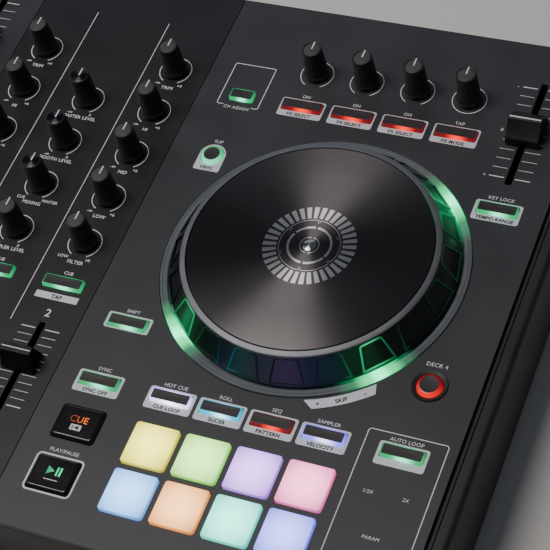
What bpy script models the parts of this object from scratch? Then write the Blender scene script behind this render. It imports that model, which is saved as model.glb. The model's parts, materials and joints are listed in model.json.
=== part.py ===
"""Two-channel, four-deck DJ controller: case, panels, platters, faders, knobs and keys.

The frame's origin is the middle of the bounding box's base: +X to the right, +Y to the rear and
+Z up. Each deck is laid out in its own plan frame, from the deck panel's inner or left edge
(x) and from the front edge of the pad-mode keys (y). Heights of controls count from the panel's top.
"""

import math

import bmesh
import bpy

MM = 0.001

# Driving dimensions
DEPTH = 338.0 * MM
MIXER_WIDTH = 117.0 * MM
DECK_WIDTH = 203.5 * MM
SIDE_GAP = 1.4 * MM
CHEEK_WIDTH = 8.6 * MM
PANEL_TOP = 53.0 * MM
PANEL_THICKNESS = 2.7 * MM
PANEL_FRONT = -76.0 * MM  # front edge of the panels in the decks' plan frame
WALL = 3.0 * MM
CASE_FLOOR = 5.0 * MM
CHEEK_BASE = 8.0 * MM
PART_GAP = 0.3 * MM
TEMPO_TRAVEL = 60.0 * MM
CHANNEL_TRAVEL = 45.0 * MM
KNOB_HEIGHT = 20.0 * MM

# Worked out from them
PLAN_TO_WORLD = -DEPTH / 2 - PANEL_FRONT
HALF_WIDTH = MIXER_WIDTH / 2 + DECK_WIDTH + SIDE_GAP + CHEEK_WIDTH
PANEL_BASE = PANEL_TOP - PANEL_THICKNESS
CASE_TOP = PANEL_BASE - PART_GAP
DECKS = {"left": -MIXER_WIDTH / 2 - DECK_WIDTH, "right": MIXER_WIDTH / 2}
SPREAD = 2 * PART_GAP  # what a hole is wider and longer than the piece in it

# Platter, about its own axis
PLATTER_X, PLATTER_Y = 101.8 * MM, 99.1 * MM
WELL_RADIUS = 78.0 * MM
RING_RADIUS = WELL_RADIUS - PART_GAP
SKIRT_RADIUS = 72.7 * MM
RIM_RADIUS = 64.1 * MM
DISC_RADIUS = 61.3 * MM
DISC_TOP = 15.2 * MM
DISC_THICKNESS = 2.4 * MM
BEARING_RADIUS = 4.9 * MM
BORE_RADIUS = BEARING_RADIUS + 0.4 * MM
ROUND_STEPS = 40
SMALL_STEPS = 12

# Knobs
KNOB_PITCH = 30.17 * MM
COLUMN_X = 40.0 * MM
COLUMN_FRONT_Y = 83.0 * MM
SHAFT_RADIUS = 3.0 * MM
SHAFT_DEPTH = 9.0 * MM
FX_X, FX_PITCH = 59.6 * MM, 28.3 * MM
FX_KNOB_Y, FX_KEY_Y = 217.4 * MM, 194.2 * MM

# Faders: where each slot lies in plan
TEMPO_X, TEMPO_Y = 179.7 * MM, 202.1 * MM
CHANNEL_Y = 5.9 * MM
CHANNEL_CAP_Y = 8.4 * MM  # the caps stand a little above the middle of their travel
CROSS_Y = -48.0 * MM
SLOT_WIDTH = 3.5 * MM
BLADE_DEPTH = 11.0 * MM

# Keys
KEY_TRAVEL_ROOM = 1.2 * MM
FLANGE_LOW, FLANGE_HIGH = -6.0 * MM, -4.6 * MM
BASE_TOP, CAP_TOP = 0.7 * MM, 1.8 * MM
PAD_SIZE, PAD_X, PAD_PITCH = 22.5 * MM, 63.7 * MM, 26.0 * MM
PAD_REAR_Y = -19.6 * MM
MODE_X, MODE_PITCH, MODE_Y = 62.6 * MM, 26.1 * MM, 7.7 * MM

# Key name: plan x and y, base width and depth, cap width and depth, in millimetres
RECT_KEYS = {
    "shift_key": (24.3, 42.7, 20.6, 7.0, 19.0, 5.0),
    "sync_key": (24.4, 7.7, 20.6, 7.0, 19.0, 5.0),
    "cue_key": (24.5, -17.2, 22.6, 18.4, 20.5, 16.4),
    "play_key": (24.5, -45.8, 22.6, 18.4, 20.5, 16.4),
    "key_lock_key": (179.7, 151.6, 20.6, 7.0, 19.6, 5.0),
    "auto_loop_key": (179.0, 7.7, 20.6, 7.0, 19.6, 5.0),
    "channel_assign_key": (25.0, 194.5, 13.3, 7.2, 12.2, 5.2),
}
ROUND_KEYS = {"slip_key": (24.6, 152.4, 6.1, 4.3), "deck_select_key": (179.4, 45.6, 6.3, 4.6)}
FX_KEY = (22.1, 6.9, 21.2, 5.0)
MODE_KEY = (20.6, 7.0, 19.7, 4.8)
CHANNEL_KEY = (40.0, 56.8, 22.0, 7.0, 20.0, 5.0)

# Rear sockets: name, x from the middle, height above the floor and size
JACK_HEIGHT = 28.0 * MM
USB_X, USB_WIDTH, USB_HEIGHT = 30.0 * MM, 12.0 * MM, 11.0 * MM
INLET_X, INLET_RADIUS = 60.0 * MM, 5.5 * MM
MIC_X, MIC_RADIUS = -110.0 * MM, 6.0 * MM
PHONO_FIRST_X, PHONO_PITCH, PHONO_RADIUS, PHONO_REACH = -70.0 * MM, 18.0 * MM, 4.2 * MM, 3.0 * MM
HEADPHONE_X, HEADPHONE_RADIUS = -190.0 * MM, 3.4 * MM

# Finish: red, green, blue, roughness and metallic
FINISHES = {
    "case": (0.012, 0.012, 0.014, 0.55, 0.0),
    "deck_panel": (0.030, 0.031, 0.034, 0.45, 0.0),
    "mixer_panel": (0.016, 0.017, 0.020, 0.45, 0.0),
    "knob": (0.010, 0.010, 0.011, 0.50, 0.0),
    "cap": (0.012, 0.012, 0.014, 0.35, 0.0),
    "key": (0.030, 0.030, 0.032, 0.50, 0.0),
    "pad": (0.720, 0.720, 0.760, 0.60, 0.0),
    "platter": (0.020, 0.021, 0.023, 0.25, 0.0),
    "disc": (0.060, 0.058, 0.056, 0.30, 1.0),
    "glow_ring": (0.550, 0.800, 0.650, 0.40, 0.0),
    "jack_panel": (0.020, 0.020, 0.022, 0.50, 0.2),
    "board": (0.010, 0.080, 0.030, 0.60, 0.0),
    "steel": (0.560, 0.560, 0.580, 0.30, 1.0),
}


def start_collections():
    """Empties the file and returns the model's collection and the cutters' collection."""
    for old in list(bpy.data.objects):
        bpy.data.objects.remove(old, do_unlink=True)
    made = []
    for name in ("dj_controller", "cutters"):
        group = bpy.data.collections.new(name)
        bpy.context.scene.collection.children.link(group)
        made.append(group)
    return made


MODEL, CUTTERS = start_collections()


def place(mesh, name, finish, location=(0.0, 0.0, 0.0)):
    """Puts a mesh in the model as an object with a material of its own."""
    red, green, blue, roughness, metallic = FINISHES[finish]
    material = bpy.data.materials.new(name)
    material.use_nodes = True
    shader = material.node_tree.nodes["Principled BSDF"]
    shader.inputs["Base Color"].default_value = (red, green, blue, 1.0)
    shader.inputs["Roughness"].default_value = roughness
    shader.inputs["Metallic"].default_value = metallic
    mesh.materials.append(material)
    piece = bpy.data.objects.new(name, mesh)
    piece.location = location
    MODEL.objects.link(piece)
    return piece


def cutter(mesh, group, location=(0.0, 0.0, 0.0)):
    """Puts a mesh among a group of cutters, which are never part of the model."""
    piece = bpy.data.objects.new(mesh.name, mesh)
    piece.location = location
    piece.hide_render = True
    piece.display_type = "WIRE"
    group.objects.link(piece)
    return piece


def cutter_group(name):
    """A new collection of cutters."""
    group = bpy.data.collections.new(name)
    CUTTERS.children.link(group)
    return group


def combine(piece, group, operation="DIFFERENCE"):
    """Cuts a piece with every cutter of a group, or joins them to it."""
    boolean = piece.modifiers.new(operation.lower(), "BOOLEAN")
    boolean.operation = operation
    boolean.solver = "EXACT"
    boolean.operand_type = "COLLECTION"
    boolean.collection = group


def stepped_mesh(name, sections):
    """A block that rises through rectangular sections, each (half width, half depth, height)."""
    mesh = bpy.data.meshes.new(name)
    bm = bmesh.new()
    bmesh.ops.create_cube(bm, size=2.0)
    for vert in bm.verts:
        half_x, half_y, height = sections[0 if vert.co.z < 0 else 1]
        vert.co = (vert.co.x * half_x, vert.co.y * half_y, height)
    bm.faces.ensure_lookup_table()
    top = max(bm.faces, key=lambda face: face.calc_center_median().z)
    below = sections[1]
    for section in sections[2:]:
        top = bmesh.ops.extrude_discrete_faces(bm, faces=[top])["faces"][0]
        for vert in top.verts:
            scale_x, scale_y = section[0] / below[0], section[1] / below[1]
            vert.co = (vert.co.x * scale_x, vert.co.y * scale_y, section[2])
        below = section
    bm.to_mesh(mesh)
    bm.free()
    return mesh


def box_mesh(name, width, depth, low, high):
    """A plain block, centred in plan, between two heights."""
    return stepped_mesh(name, [(width / 2, depth / 2, low), (width / 2, depth / 2, high)])


def drum_mesh(name, radius, low, high, steps=SMALL_STEPS):
    """A round bar about Z between two heights."""
    mesh = bpy.data.meshes.new(name)
    bm = bmesh.new()
    bmesh.ops.create_cone(
        bm, cap_ends=True, segments=steps, radius1=radius, radius2=radius, depth=high - low
    )
    bmesh.ops.translate(bm, verts=bm.verts, vec=(0.0, 0.0, (high + low) / 2))
    bm.to_mesh(mesh)
    bm.free()
    return mesh


def turn(piece, steps):
    """Turns a piece's profile about Z."""
    screw = piece.modifiers.new("turned", "SCREW")
    screw.axis = "Z"
    screw.steps = steps
    screw.render_steps = steps
    screw.use_merge_vertices = True
    screw.merge_threshold = 0.01 * MM
    return piece


def profile_mesh(name, points, closed):
    """A profile in the XZ plane, given from the top down its outer side."""
    mesh = bpy.data.meshes.new(name)
    edges = [(index, index + 1) for index in range(len(points) - 1)]
    if closed:
        edges.append((len(points) - 1, 0))
    mesh.from_pydata([(radius, 0.0, height) for radius, height in points], edges, [])
    return mesh


def plan(x, y, height=PANEL_TOP):
    """A world location from a plan x in world X and a plan y in the decks' frame."""
    return (x, y + PLAN_TO_WORLD, height)


def key_sections(base_width, base_depth, cap_width, cap_depth, flange=KEY_TRAVEL_ROOM):
    """A key's sections: a flange below the panel, the clear base in its hole and the cap."""
    half_width, half_depth = base_width / 2, base_depth / 2
    return [
        (half_width + flange, half_depth + flange, FLANGE_LOW),
        (half_width + flange, half_depth + flange, FLANGE_HIGH),
        (half_width, half_depth, FLANGE_HIGH),
        (half_width, half_depth, BASE_TOP),
        (cap_width / 2, cap_depth / 2, BASE_TOP),
        (cap_width / 2, cap_depth / 2, CAP_TOP),
    ]


def round_key_profile(base_radius, cap_radius):
    """A round key's profile, closed at its own axis."""
    return [
        (0.0, CAP_TOP),
        (cap_radius, CAP_TOP),
        (cap_radius, BASE_TOP),
        (base_radius, BASE_TOP),
        (base_radius, FLANGE_HIGH),
        (base_radius + KEY_TRAVEL_ROOM, FLANGE_HIGH),
        (base_radius + KEY_TRAVEL_ROOM, FLANGE_LOW),
        (0.0, FLANGE_LOW),
    ]


def deck_key_table():
    """Every rectangular key of a deck: name, plan x and y, and its sizes, in metres."""
    table = {name: [value * MM for value in row] for name, row in RECT_KEYS.items()}
    for index in range(4):
        sizes = [value * MM for value in FX_KEY]
        table[f"fx_key_{index + 1}"] = [FX_X + index * FX_PITCH, FX_KEY_Y, *sizes]
        sizes = [value * MM for value in MODE_KEY]
        table[f"pad_mode_key_{index + 1}"] = [MODE_X + index * MODE_PITCH, MODE_Y, *sizes]
    return table


DECK_KEYS = deck_key_table()


def knob(name, x, y):
    """A tapered knob on its shaft, which turns about its own Z."""
    points = [
        (0.0, KNOB_HEIGHT),
        (5.3 * MM, KNOB_HEIGHT),
        (6.9 * MM, 0.8 * MM),
        (SHAFT_RADIUS, 0.8 * MM),
        (SHAFT_RADIUS, -SHAFT_DEPTH),
        (0.0, -SHAFT_DEPTH),
    ]
    piece = place(profile_mesh(name, points, False), name, "knob", plan(x, y))
    return turn(piece, SMALL_STEPS)


def fader_cap(name, x, y, width, length, along_x=False):
    """A fader cap with a crowned grip, on the blade that goes down through its slot."""
    half_width, half_length = width / 2, length / 2
    blade, grip = 1.0 * MM, 1.6 * MM
    outline = [
        (blade, 2.5 * MM, -BLADE_DEPTH),
        (blade, 2.5 * MM, 1.0 * MM),
        (half_width, half_length, 1.0 * MM),
        (half_width, half_length, 5.0 * MM),
        (half_width - 0.8 * MM, grip, 12.0 * MM),
    ]
    if along_x:
        outline = [(deep, wide, height) for wide, deep, height in outline]
    return place(stepped_mesh(name, outline), name, "cap", plan(x, y))


def deck_cutters(side):
    """What is cut out of a deck panel: the platter's well, key holes, knob holes and a slot."""
    group = cutter_group(f"{side}_deck_cutters")
    origin = DECKS[side]
    low, high = -2 * PANEL_THICKNESS, PANEL_THICKNESS
    well = drum_mesh("well", WELL_RADIUS, low, high, ROUND_STEPS)
    cutter(well, group, plan(origin + PLATTER_X, PLATTER_Y))
    for name, (x, y, width, depth, _, _) in DECK_KEYS.items():
        hole = box_mesh(f"{name}_hole", width + SPREAD, depth + SPREAD, low, high)
        cutter(hole, group, plan(origin + x, y))
    for name, (x, y, base_radius, _) in ROUND_KEYS.items():
        hole = drum_mesh(f"{name}_hole", base_radius * MM + PART_GAP, low, high)
        cutter(hole, group, plan(origin + x * MM, y * MM))
    for index in range(4):
        hole = drum_mesh("knob_hole", SHAFT_RADIUS + PART_GAP, low, high, SMALL_STEPS)
        cutter(hole, group, plan(origin + FX_X + index * FX_PITCH, FX_KNOB_Y))
    for x, y in pad_places():
        hole = box_mesh("pad_hole", PAD_SIZE + SPREAD, PAD_SIZE + SPREAD, low, high)
        cutter(hole, group, plan(origin + x, y))
    slot = box_mesh("tempo_slot", SLOT_WIDTH, TEMPO_TRAVEL + 8 * MM, low, high)
    cutter(slot, group, plan(origin + TEMPO_X, TEMPO_Y))
    return group


def pad_places():
    """The plan centres of a deck's eight pads."""
    return [
        (PAD_X + column * PAD_PITCH, PAD_REAR_Y - row * PAD_PITCH)
        for row in range(2)
        for column in range(4)
    ]


def deck_panel(side):
    """A deck's top panel with its holes."""
    name = f"{side}_deck_plate"
    mesh = box_mesh(name, DECK_WIDTH - PART_GAP, DEPTH, -PANEL_THICKNESS, 0.0)
    panel = place(mesh, name, "deck_panel", (DECKS[side] + DECK_WIDTH / 2, 0.0, PANEL_TOP))
    combine(panel, deck_cutters(side))


def platter(side):
    """A platter's grip skirt with its bore, the pressed-on disc and the fixed bearing post."""
    centre = plan(DECKS[side] + PLATTER_X, PLATTER_Y)
    web_top = DISC_TOP - DISC_THICKNESS - PART_GAP
    skirt = [
        (DISC_RADIUS + PART_GAP, DISC_TOP - 1.2 * MM),
        (RIM_RADIUS, DISC_TOP - 1.2 * MM),
        (SKIRT_RADIUS, 2.0 * MM),
        (SKIRT_RADIUS, 0.8 * MM),
        (70.0 * MM, 0.8 * MM),
        (61.0 * MM, web_top - 2.2 * MM),
        (9.0 * MM, web_top - 2.2 * MM),
        (9.0 * MM, -4.0 * MM),
        (BORE_RADIUS, -4.0 * MM),
        (BORE_RADIUS, web_top),
        (DISC_RADIUS + PART_GAP, web_top),
    ]
    name = f"{side}_platter"
    turn(place(profile_mesh(name, skirt, True), name, "platter", centre), ROUND_STEPS)
    disc = [
        (0.0, DISC_TOP),
        (DISC_RADIUS, DISC_TOP),
        (DISC_RADIUS, DISC_TOP - DISC_THICKNESS),
        (0.0, DISC_TOP - DISC_THICKNESS),
    ]
    name = f"{side}_platter_disc"
    turn(place(profile_mesh(name, disc, False), name, "disc", centre), ROUND_STEPS)
    foot = CASE_FLOOR + WALL + PART_GAP - PANEL_TOP
    post = [
        (0.0, web_top - 1.0 * MM),
        (BEARING_RADIUS, web_top - 1.0 * MM),
        (BEARING_RADIUS, foot + 4.0 * MM),
        (14.0 * MM, foot + 4.0 * MM),
        (14.0 * MM, foot),
        (0.0, foot),
    ]
    name = f"{side}_platter_bearing"
    turn(place(profile_mesh(name, post, False), name, "steel", centre), SMALL_STEPS)


def light_ring(side):
    """The clear ring that shines round a platter: an upstand on a flat flange."""
    upstand, flange_top = 73.7 * MM, -1.5 * MM
    profile = [
        (upstand, 0.6 * MM),
        (RING_RADIUS, 0.6 * MM),
        (RING_RADIUS, -4.0 * MM),
        (66.0 * MM, -4.0 * MM),
        (66.0 * MM, flange_top),
        (upstand, flange_top),
    ]
    name = f"{side}_light_ring"
    centre = plan(DECKS[side] + PLATTER_X, PLATTER_Y)
    turn(place(profile_mesh(name, profile, True), name, "glow_ring", centre), ROUND_STEPS)


def pad_sheet(side):
    """The eight pads of a deck, moulded as one silicone sheet."""
    name = f"{side}_pads"
    margin = 1.2 * MM
    centre_x = DECKS[side] + PAD_X + 1.5 * PAD_PITCH
    centre = plan(centre_x, PAD_REAR_Y - PAD_PITCH / 2)
    width = 3 * PAD_PITCH + PAD_SIZE + 2 * margin
    depth = PAD_PITCH + PAD_SIZE + 2 * margin
    sheet = place(box_mesh(name, width, depth, FLANGE_LOW, FLANGE_HIGH), name, "pad", centre)
    heads = cutter_group(f"{side}_pad_heads")
    half = PAD_SIZE / 2
    sections = [(half, half, -5.4 * MM), (half, half, 1.0 * MM)]
    sections.append((half - 0.6 * MM, half - 0.6 * MM, 1.6 * MM))
    for x, y in pad_places():
        cutter(stepped_mesh("pad_head", sections), heads, plan(DECKS[side] + x, y))
    combine(sheet, heads, "UNION")


def right_deck_keys():
    """The right deck's keys, each its own piece."""
    for name, (x, y, *sizes) in DECK_KEYS.items():
        name = f"right_{name}"
        mesh = stepped_mesh(name, key_sections(*sizes))
        place(mesh, name, "key", plan(DECKS["right"] + x, y))
    for name, (x, y, base_radius, cap_radius) in ROUND_KEYS.items():
        name = f"right_{name}"
        points = round_key_profile(base_radius * MM, cap_radius * MM)
        where = plan(DECKS["right"] + x * MM, y * MM)
        turn(place(profile_mesh(name, points, False), name, "key", where), SMALL_STEPS)


def left_key_mat():
    """The left deck's keys, moulded on one mat that lies under the panel round platter and pads."""
    origin = DECKS["left"]
    front, rear = -58.0 * MM, 202.0 * MM
    start, end = 9.0 * MM, 195.0 * MM
    name = "left_key_mat"
    sheet = box_mesh(name, end - start, rear - front, FLANGE_LOW, FLANGE_HIGH)
    centre = plan(origin + (start + end) / 2, (front + rear) / 2)
    mat = place(sheet, name, "key", centre)
    cuts = cutter_group("left_mat_cutters")
    low, high = FLANGE_LOW - MM, FLANGE_HIGH + MM
    well = drum_mesh("mat_well", RING_RADIUS + 2.5 * MM, low, high, ROUND_STEPS)
    cutter(well, cuts, plan(origin + PLATTER_X, PLATTER_Y))
    slot_corner = box_mesh("slot_corner", 40 * MM, 60 * MM, low, high)
    cutter(slot_corner, cuts, plan(origin + 185 * MM, 193 * MM))
    pad_corner = box_mesh("pad_corner", 160 * MM, 60 * MM, low, high)
    cutter(pad_corner, cuts, plan(origin + 121 * MM, -31 * MM))
    combine(mat, cuts)
    heads = cutter_group("left_key_heads")
    overlap = FLANGE_HIGH - 0.5 * MM
    for key, (x, y, *sizes) in DECK_KEYS.items():
        sections = key_sections(*sizes)[2:]
        sections[0] = (sections[0][0], sections[0][1], overlap)
        cutter(stepped_mesh(f"left_{key}_head", sections), heads, plan(origin + x, y))
    for key, (x, y, base_radius, _) in ROUND_KEYS.items():
        head = drum_mesh(f"left_{key}_head", base_radius * MM, overlap, CAP_TOP)
        cutter(head, heads, plan(origin + x * MM, y * MM))
    combine(mat, heads, "UNION")


def mixer_knob_places():
    """Each mixer knob's name with its plan x and y."""
    rows = ["filter", "low", "mid", "high", "trim"]
    places = {}
    for row, name in enumerate(rows):
        y = COLUMN_FRONT_Y + row * KNOB_PITCH
        places[f"left_{name}_knob"] = (-COLUMN_X, y)
        places[f"right_{name}_knob"] = (COLUMN_X, y)
    for row, name in enumerate(["sampler", "cue_mix", "booth", "master"]):
        places[f"{name}_knob"] = (0.0, COLUMN_FRONT_Y + row * KNOB_PITCH)
    return places


def mixer():
    """The mixer's panel with its holes, its knobs, fader caps and cue key."""
    name = "mixer_plate"
    mesh = box_mesh(name, MIXER_WIDTH - PART_GAP, DEPTH, -PANEL_THICKNESS, 0.0)
    panel = place(mesh, name, "mixer_panel", (0.0, 0.0, PANEL_TOP))
    cuts = cutter_group("mixer_cutters")
    low, high = -2 * PANEL_THICKNESS, PANEL_THICKNESS
    for knob_name, (x, y) in mixer_knob_places().items():
        hole = drum_mesh(f"{knob_name}_hole", SHAFT_RADIUS + PART_GAP, low, high, SMALL_STEPS)
        cutter(hole, cuts, plan(x, y))
        knob(knob_name, x, y)
    for side, x in (("left", -COLUMN_X), ("right", COLUMN_X)):
        slot = box_mesh(f"{side}_channel_slot", SLOT_WIDTH, CHANNEL_TRAVEL + 8 * MM, low, high)
        cutter(slot, cuts, plan(x, CHANNEL_Y))
        fader_cap(f"{side}_channel_fader_cap", x, CHANNEL_CAP_Y, 18 * MM, 12 * MM)
    cross_slot = box_mesh("cross_slot", CHANNEL_TRAVEL + 8 * MM, SLOT_WIDTH, low, high)
    cutter(cross_slot, cuts, plan(0.0, CROSS_Y))
    fader_cap("crossfader_cap", 0.0, CROSS_Y, 18 * MM, 12 * MM, along_x=True)
    x, y, *sizes = [value * MM for value in CHANNEL_KEY]
    cutter(box_mesh("cue_hole", sizes[0] + SPREAD, sizes[1] + SPREAD, low, high), cuts, plan(x, y))
    key = stepped_mesh("right_channel_cue_key", key_sections(*sizes))
    place(key, "right_channel_cue_key", "key", plan(x, y))
    combine(panel, cuts)


def case():
    """The bottom case: a tray with feet, a rear window and a headphone hole in front."""
    half_width = HALF_WIDTH - CHEEK_WIDTH - PART_GAP
    mesh = box_mesh("bottom_case", 2 * half_width, DEPTH, CASE_FLOOR, CASE_TOP)
    tray = place(mesh, "bottom_case", "case")
    feet = cutter_group("feet")
    for x in (-1, 1):
        for y in (-1, 1):
            foot = drum_mesh("foot", 11 * MM, 0.0, CASE_FLOOR + WALL / 2)
            cutter(foot, feet, (x * (half_width - 30 * MM), y * (DEPTH / 2 - 30 * MM), 0.0))
    combine(tray, feet, "UNION")
    cuts = cutter_group("case_cutters")
    inside = box_mesh(
        "inside", 2 * (half_width - WALL), DEPTH - 2 * WALL, CASE_FLOOR + WALL, PANEL_TOP
    )
    cutter(inside, cuts)
    window = box_mesh("window", 290 * MM, 4 * WALL, 14 * MM, 42 * MM)
    cutter(window, cuts, (0.0, DEPTH / 2, 0.0))
    headphone = drum_mesh("headphone", HEADPHONE_RADIUS, -2 * WALL, 2 * WALL)
    hole = cutter(headphone, cuts, (HEADPHONE_X, -DEPTH / 2, JACK_HEIGHT))
    hole.rotation_euler.x = math.pi / 2
    combine(tray, cuts)


def jack_panel():
    """The rear socket panel, just inside the case's window."""
    thickness = 4.0 * MM
    rear_face = DEPTH / 2 - WALL - PART_GAP
    mesh = box_mesh("rear_jack_panel", 300 * MM, thickness, 11 * MM, 45 * MM)
    where = (0.0, rear_face - thickness / 2, 0.0)
    panel = place(mesh, "rear_jack_panel", "jack_panel", where)
    phonos = cutter_group("phono_barrels")
    for index in range(4):
        barrel = drum_mesh("phono", PHONO_RADIUS, -thickness / 2, PHONO_REACH)
        x = PHONO_FIRST_X + index * PHONO_PITCH
        cutter(barrel, phonos, (x, rear_face, JACK_HEIGHT)).rotation_euler.x = -math.pi / 2
    combine(panel, phonos, "UNION")
    cuts = cutter_group("socket_cutters")
    usb_low = JACK_HEIGHT - USB_HEIGHT / 2
    usb = box_mesh("usb", USB_WIDTH, 4 * thickness, usb_low, usb_low + USB_HEIGHT)
    cutter(usb, cuts, (USB_X, rear_face, 0.0))
    for name, x, radius in (("inlet", INLET_X, INLET_RADIUS), ("mic", MIC_X, MIC_RADIUS)):
        socket = drum_mesh(name, radius, -2 * thickness, 2 * thickness)
        cutter(socket, cuts, (x, rear_face, JACK_HEIGHT)).rotation_euler.x = math.pi / 2
    combine(panel, cuts)


def main_board():
    """The circuit board under the panels, with clearance round both bearing posts."""
    mesh = box_mesh("main_board", 510 * MM, 310 * MM, 0.0, 1.6 * MM)
    board = place(mesh, "main_board", "board", (0.0, 0.0, 38 * MM))
    cuts = cutter_group("board_cutters")
    for side in DECKS:
        hole = drum_mesh("post_hole", BORE_RADIUS + 3 * MM, -5 * MM, 5 * MM)
        cutter(hole, cuts, plan(DECKS[side] + PLATTER_X, PLATTER_Y, 38 * MM))
    combine(board, cuts)


def cheeks():
    """The two side cheeks, outside the case and level with the panels."""
    for name, sign in (("left_side_cheek", -1), ("right_side_cheek", 1)):
        mesh = box_mesh(name, CHEEK_WIDTH, DEPTH, CHEEK_BASE, PANEL_TOP)
        cheek = place(mesh, name, "case", (sign * (HALF_WIDTH - CHEEK_WIDTH / 2), 0.0, 0.0))
        bevel = cheek.modifiers.new("rounded", "BEVEL")
        bevel.width = 1.5 * MM
        bevel.segments = 1


def main():
    """Builds the whole controller."""
    case()
    jack_panel()
    main_board()
    cheeks()
    mixer()
    for side, origin in DECKS.items():
        deck_panel(side)
        light_ring(side)
        platter(side)
        pad_sheet(side)
        fader_cap(f"{side}_tempo_fader_cap", origin + TEMPO_X, TEMPO_Y, 17.3 * MM, 19 * MM)
    for index in range(4):
        knob(f"right_fx_knob_{index + 1}", DECKS["right"] + FX_X + index * FX_PITCH, FX_KNOB_Y)
    right_deck_keys()
    left_key_mat()


main()
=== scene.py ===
"""The looks of a two-channel DJ controller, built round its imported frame.

Lengths are in metres. A deck is laid out in its own plan: x from the deck panel's left edge and y
from the front edge of the pad-mode keys, both in millimetres, and heights count from the panel.
"""

from __future__ import annotations

import json
import logging
import math
from collections.abc import Callable, Iterable, Iterator
from contextlib import contextmanager
from dataclasses import dataclass, field
from enum import Enum

import bpy
from mathutils import Matrix, Vector

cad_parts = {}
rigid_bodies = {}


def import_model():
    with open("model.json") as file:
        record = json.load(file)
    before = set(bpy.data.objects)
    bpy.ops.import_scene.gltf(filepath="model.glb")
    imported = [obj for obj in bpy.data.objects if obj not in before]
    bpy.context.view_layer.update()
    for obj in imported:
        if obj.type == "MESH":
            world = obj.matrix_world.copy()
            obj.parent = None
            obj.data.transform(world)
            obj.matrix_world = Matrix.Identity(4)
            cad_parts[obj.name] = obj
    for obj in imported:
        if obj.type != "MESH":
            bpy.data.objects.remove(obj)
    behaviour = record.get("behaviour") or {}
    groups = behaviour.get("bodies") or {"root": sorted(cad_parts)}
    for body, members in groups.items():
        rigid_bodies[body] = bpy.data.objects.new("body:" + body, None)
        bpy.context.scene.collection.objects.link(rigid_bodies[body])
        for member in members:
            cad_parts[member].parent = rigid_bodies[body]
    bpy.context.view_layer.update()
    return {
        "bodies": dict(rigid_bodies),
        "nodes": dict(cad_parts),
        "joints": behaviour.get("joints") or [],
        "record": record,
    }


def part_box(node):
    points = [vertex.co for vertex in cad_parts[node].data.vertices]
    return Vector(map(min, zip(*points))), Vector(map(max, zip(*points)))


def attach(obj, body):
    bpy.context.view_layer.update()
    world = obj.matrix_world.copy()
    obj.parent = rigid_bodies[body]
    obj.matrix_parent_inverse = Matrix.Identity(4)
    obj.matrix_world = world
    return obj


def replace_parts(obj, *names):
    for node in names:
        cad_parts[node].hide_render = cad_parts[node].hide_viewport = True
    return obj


LOG = logging.getLogger("dj_controller")
MM = 0.001
ROOT = "case_and_panels"
PLAN_FRONT = -76.0  # plan y of the panels' front edge
INK = 0.00003  # how thick a printed mark is laid

Point = tuple[float, float]
Outline = list[Point]
Piece = bpy.types.Object


# ---------------------------------------------------------------- the modelling bench


def solo(piece: Piece) -> Piece:
    """Selects one piece alone and makes it active, and returns it.

    Args:
        piece: The piece.

    Returns:
        The same piece.
    """
    bpy.ops.object.select_all(action="DESELECT")
    piece.select_set(True)
    bpy.context.view_layer.objects.active = piece
    return piece


def settle(piece: Piece) -> Piece:
    """Applies a piece's place, turn and scale to its mesh.

    Args:
        piece: The piece.

    Returns:
        The same piece, at the origin.
    """
    solo(piece)
    bpy.ops.object.transform_apply(location=True, rotation=True, scale=True)
    return piece


@contextmanager
def editing(piece: Piece, faces: Callable | None = None, points: Callable | None = None,
            edges: Callable | None = None) -> Iterator[None]:
    """Edit mode on a piece, with what a test picks selected.

    Args:
        piece: The piece to edit.
        faces: A test of a polygon; None selects no faces.
        points: A test of a vertex's place.
        edges: A test of an edge's two ends.
    """
    solo(piece)
    mesh = piece.data
    mode = "VERT" if points else "EDGE" if edges else "FACE"
    bpy.ops.object.mode_set(mode="EDIT")
    bpy.ops.mesh.select_mode(type=mode)
    bpy.ops.mesh.select_all(action="DESELECT")
    bpy.ops.object.mode_set(mode="OBJECT")
    if faces:
        for polygon in mesh.polygons:
            polygon.select = bool(faces(polygon))
    if points:
        for vertex in mesh.vertices:
            vertex.select = bool(points(vertex.co))
    if edges:
        for edge in mesh.edges:
            first, second = (mesh.vertices[index].co for index in edge.vertices)
            edge.select = bool(edges(first, second))
    bpy.ops.object.mode_set(mode="EDIT")
    yield
    bpy.ops.object.mode_set(mode="OBJECT")


def faces_up(low: float) -> Callable:
    """A test for faces that look up and lie at or above a height."""
    return lambda polygon: polygon.normal.z > 0.9 and polygon.center.z > low - 1e-6


def cuboid(name: str, size: tuple[float, float, float], centre: Iterable[float]) -> Piece:
    """A box of a given size about a centre.

    Args:
        name: The box's name.
        size: Its lengths along X, Y and Z.
        centre: Its middle.

    Returns:
        The box.
    """
    bpy.ops.object.select_all(action="DESELECT")
    bpy.ops.mesh.primitive_cube_add(size=1.0, location=tuple(centre), scale=size)
    piece = bpy.context.active_object
    piece.name = piece.data.name = name
    return settle(piece)


def block(name: str, width: float, depth: float, low: float, high: float) -> Piece:
    """A box centred in plan between two heights."""
    return cuboid(name, (width, depth, high - low), (0.0, 0.0, (high + low) / 2))


def bar(name: str, radius: float, low: float, high: float, steps: int = 48) -> Piece:
    """A round bar about Z between two heights.

    Args:
        name: The bar's name.
        radius: Its radius.
        low: Height of its foot.
        high: Height of its top.
        steps: How many sides it has.

    Returns:
        The bar.
    """
    bpy.ops.object.select_all(action="DESELECT")
    bpy.ops.mesh.primitive_cylinder_add(
        vertices=steps, radius=radius, depth=high - low, location=(0.0, 0.0, (high + low) / 2)
    )
    piece = bpy.context.active_object
    piece.name = piece.data.name = name
    return settle(piece)


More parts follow.
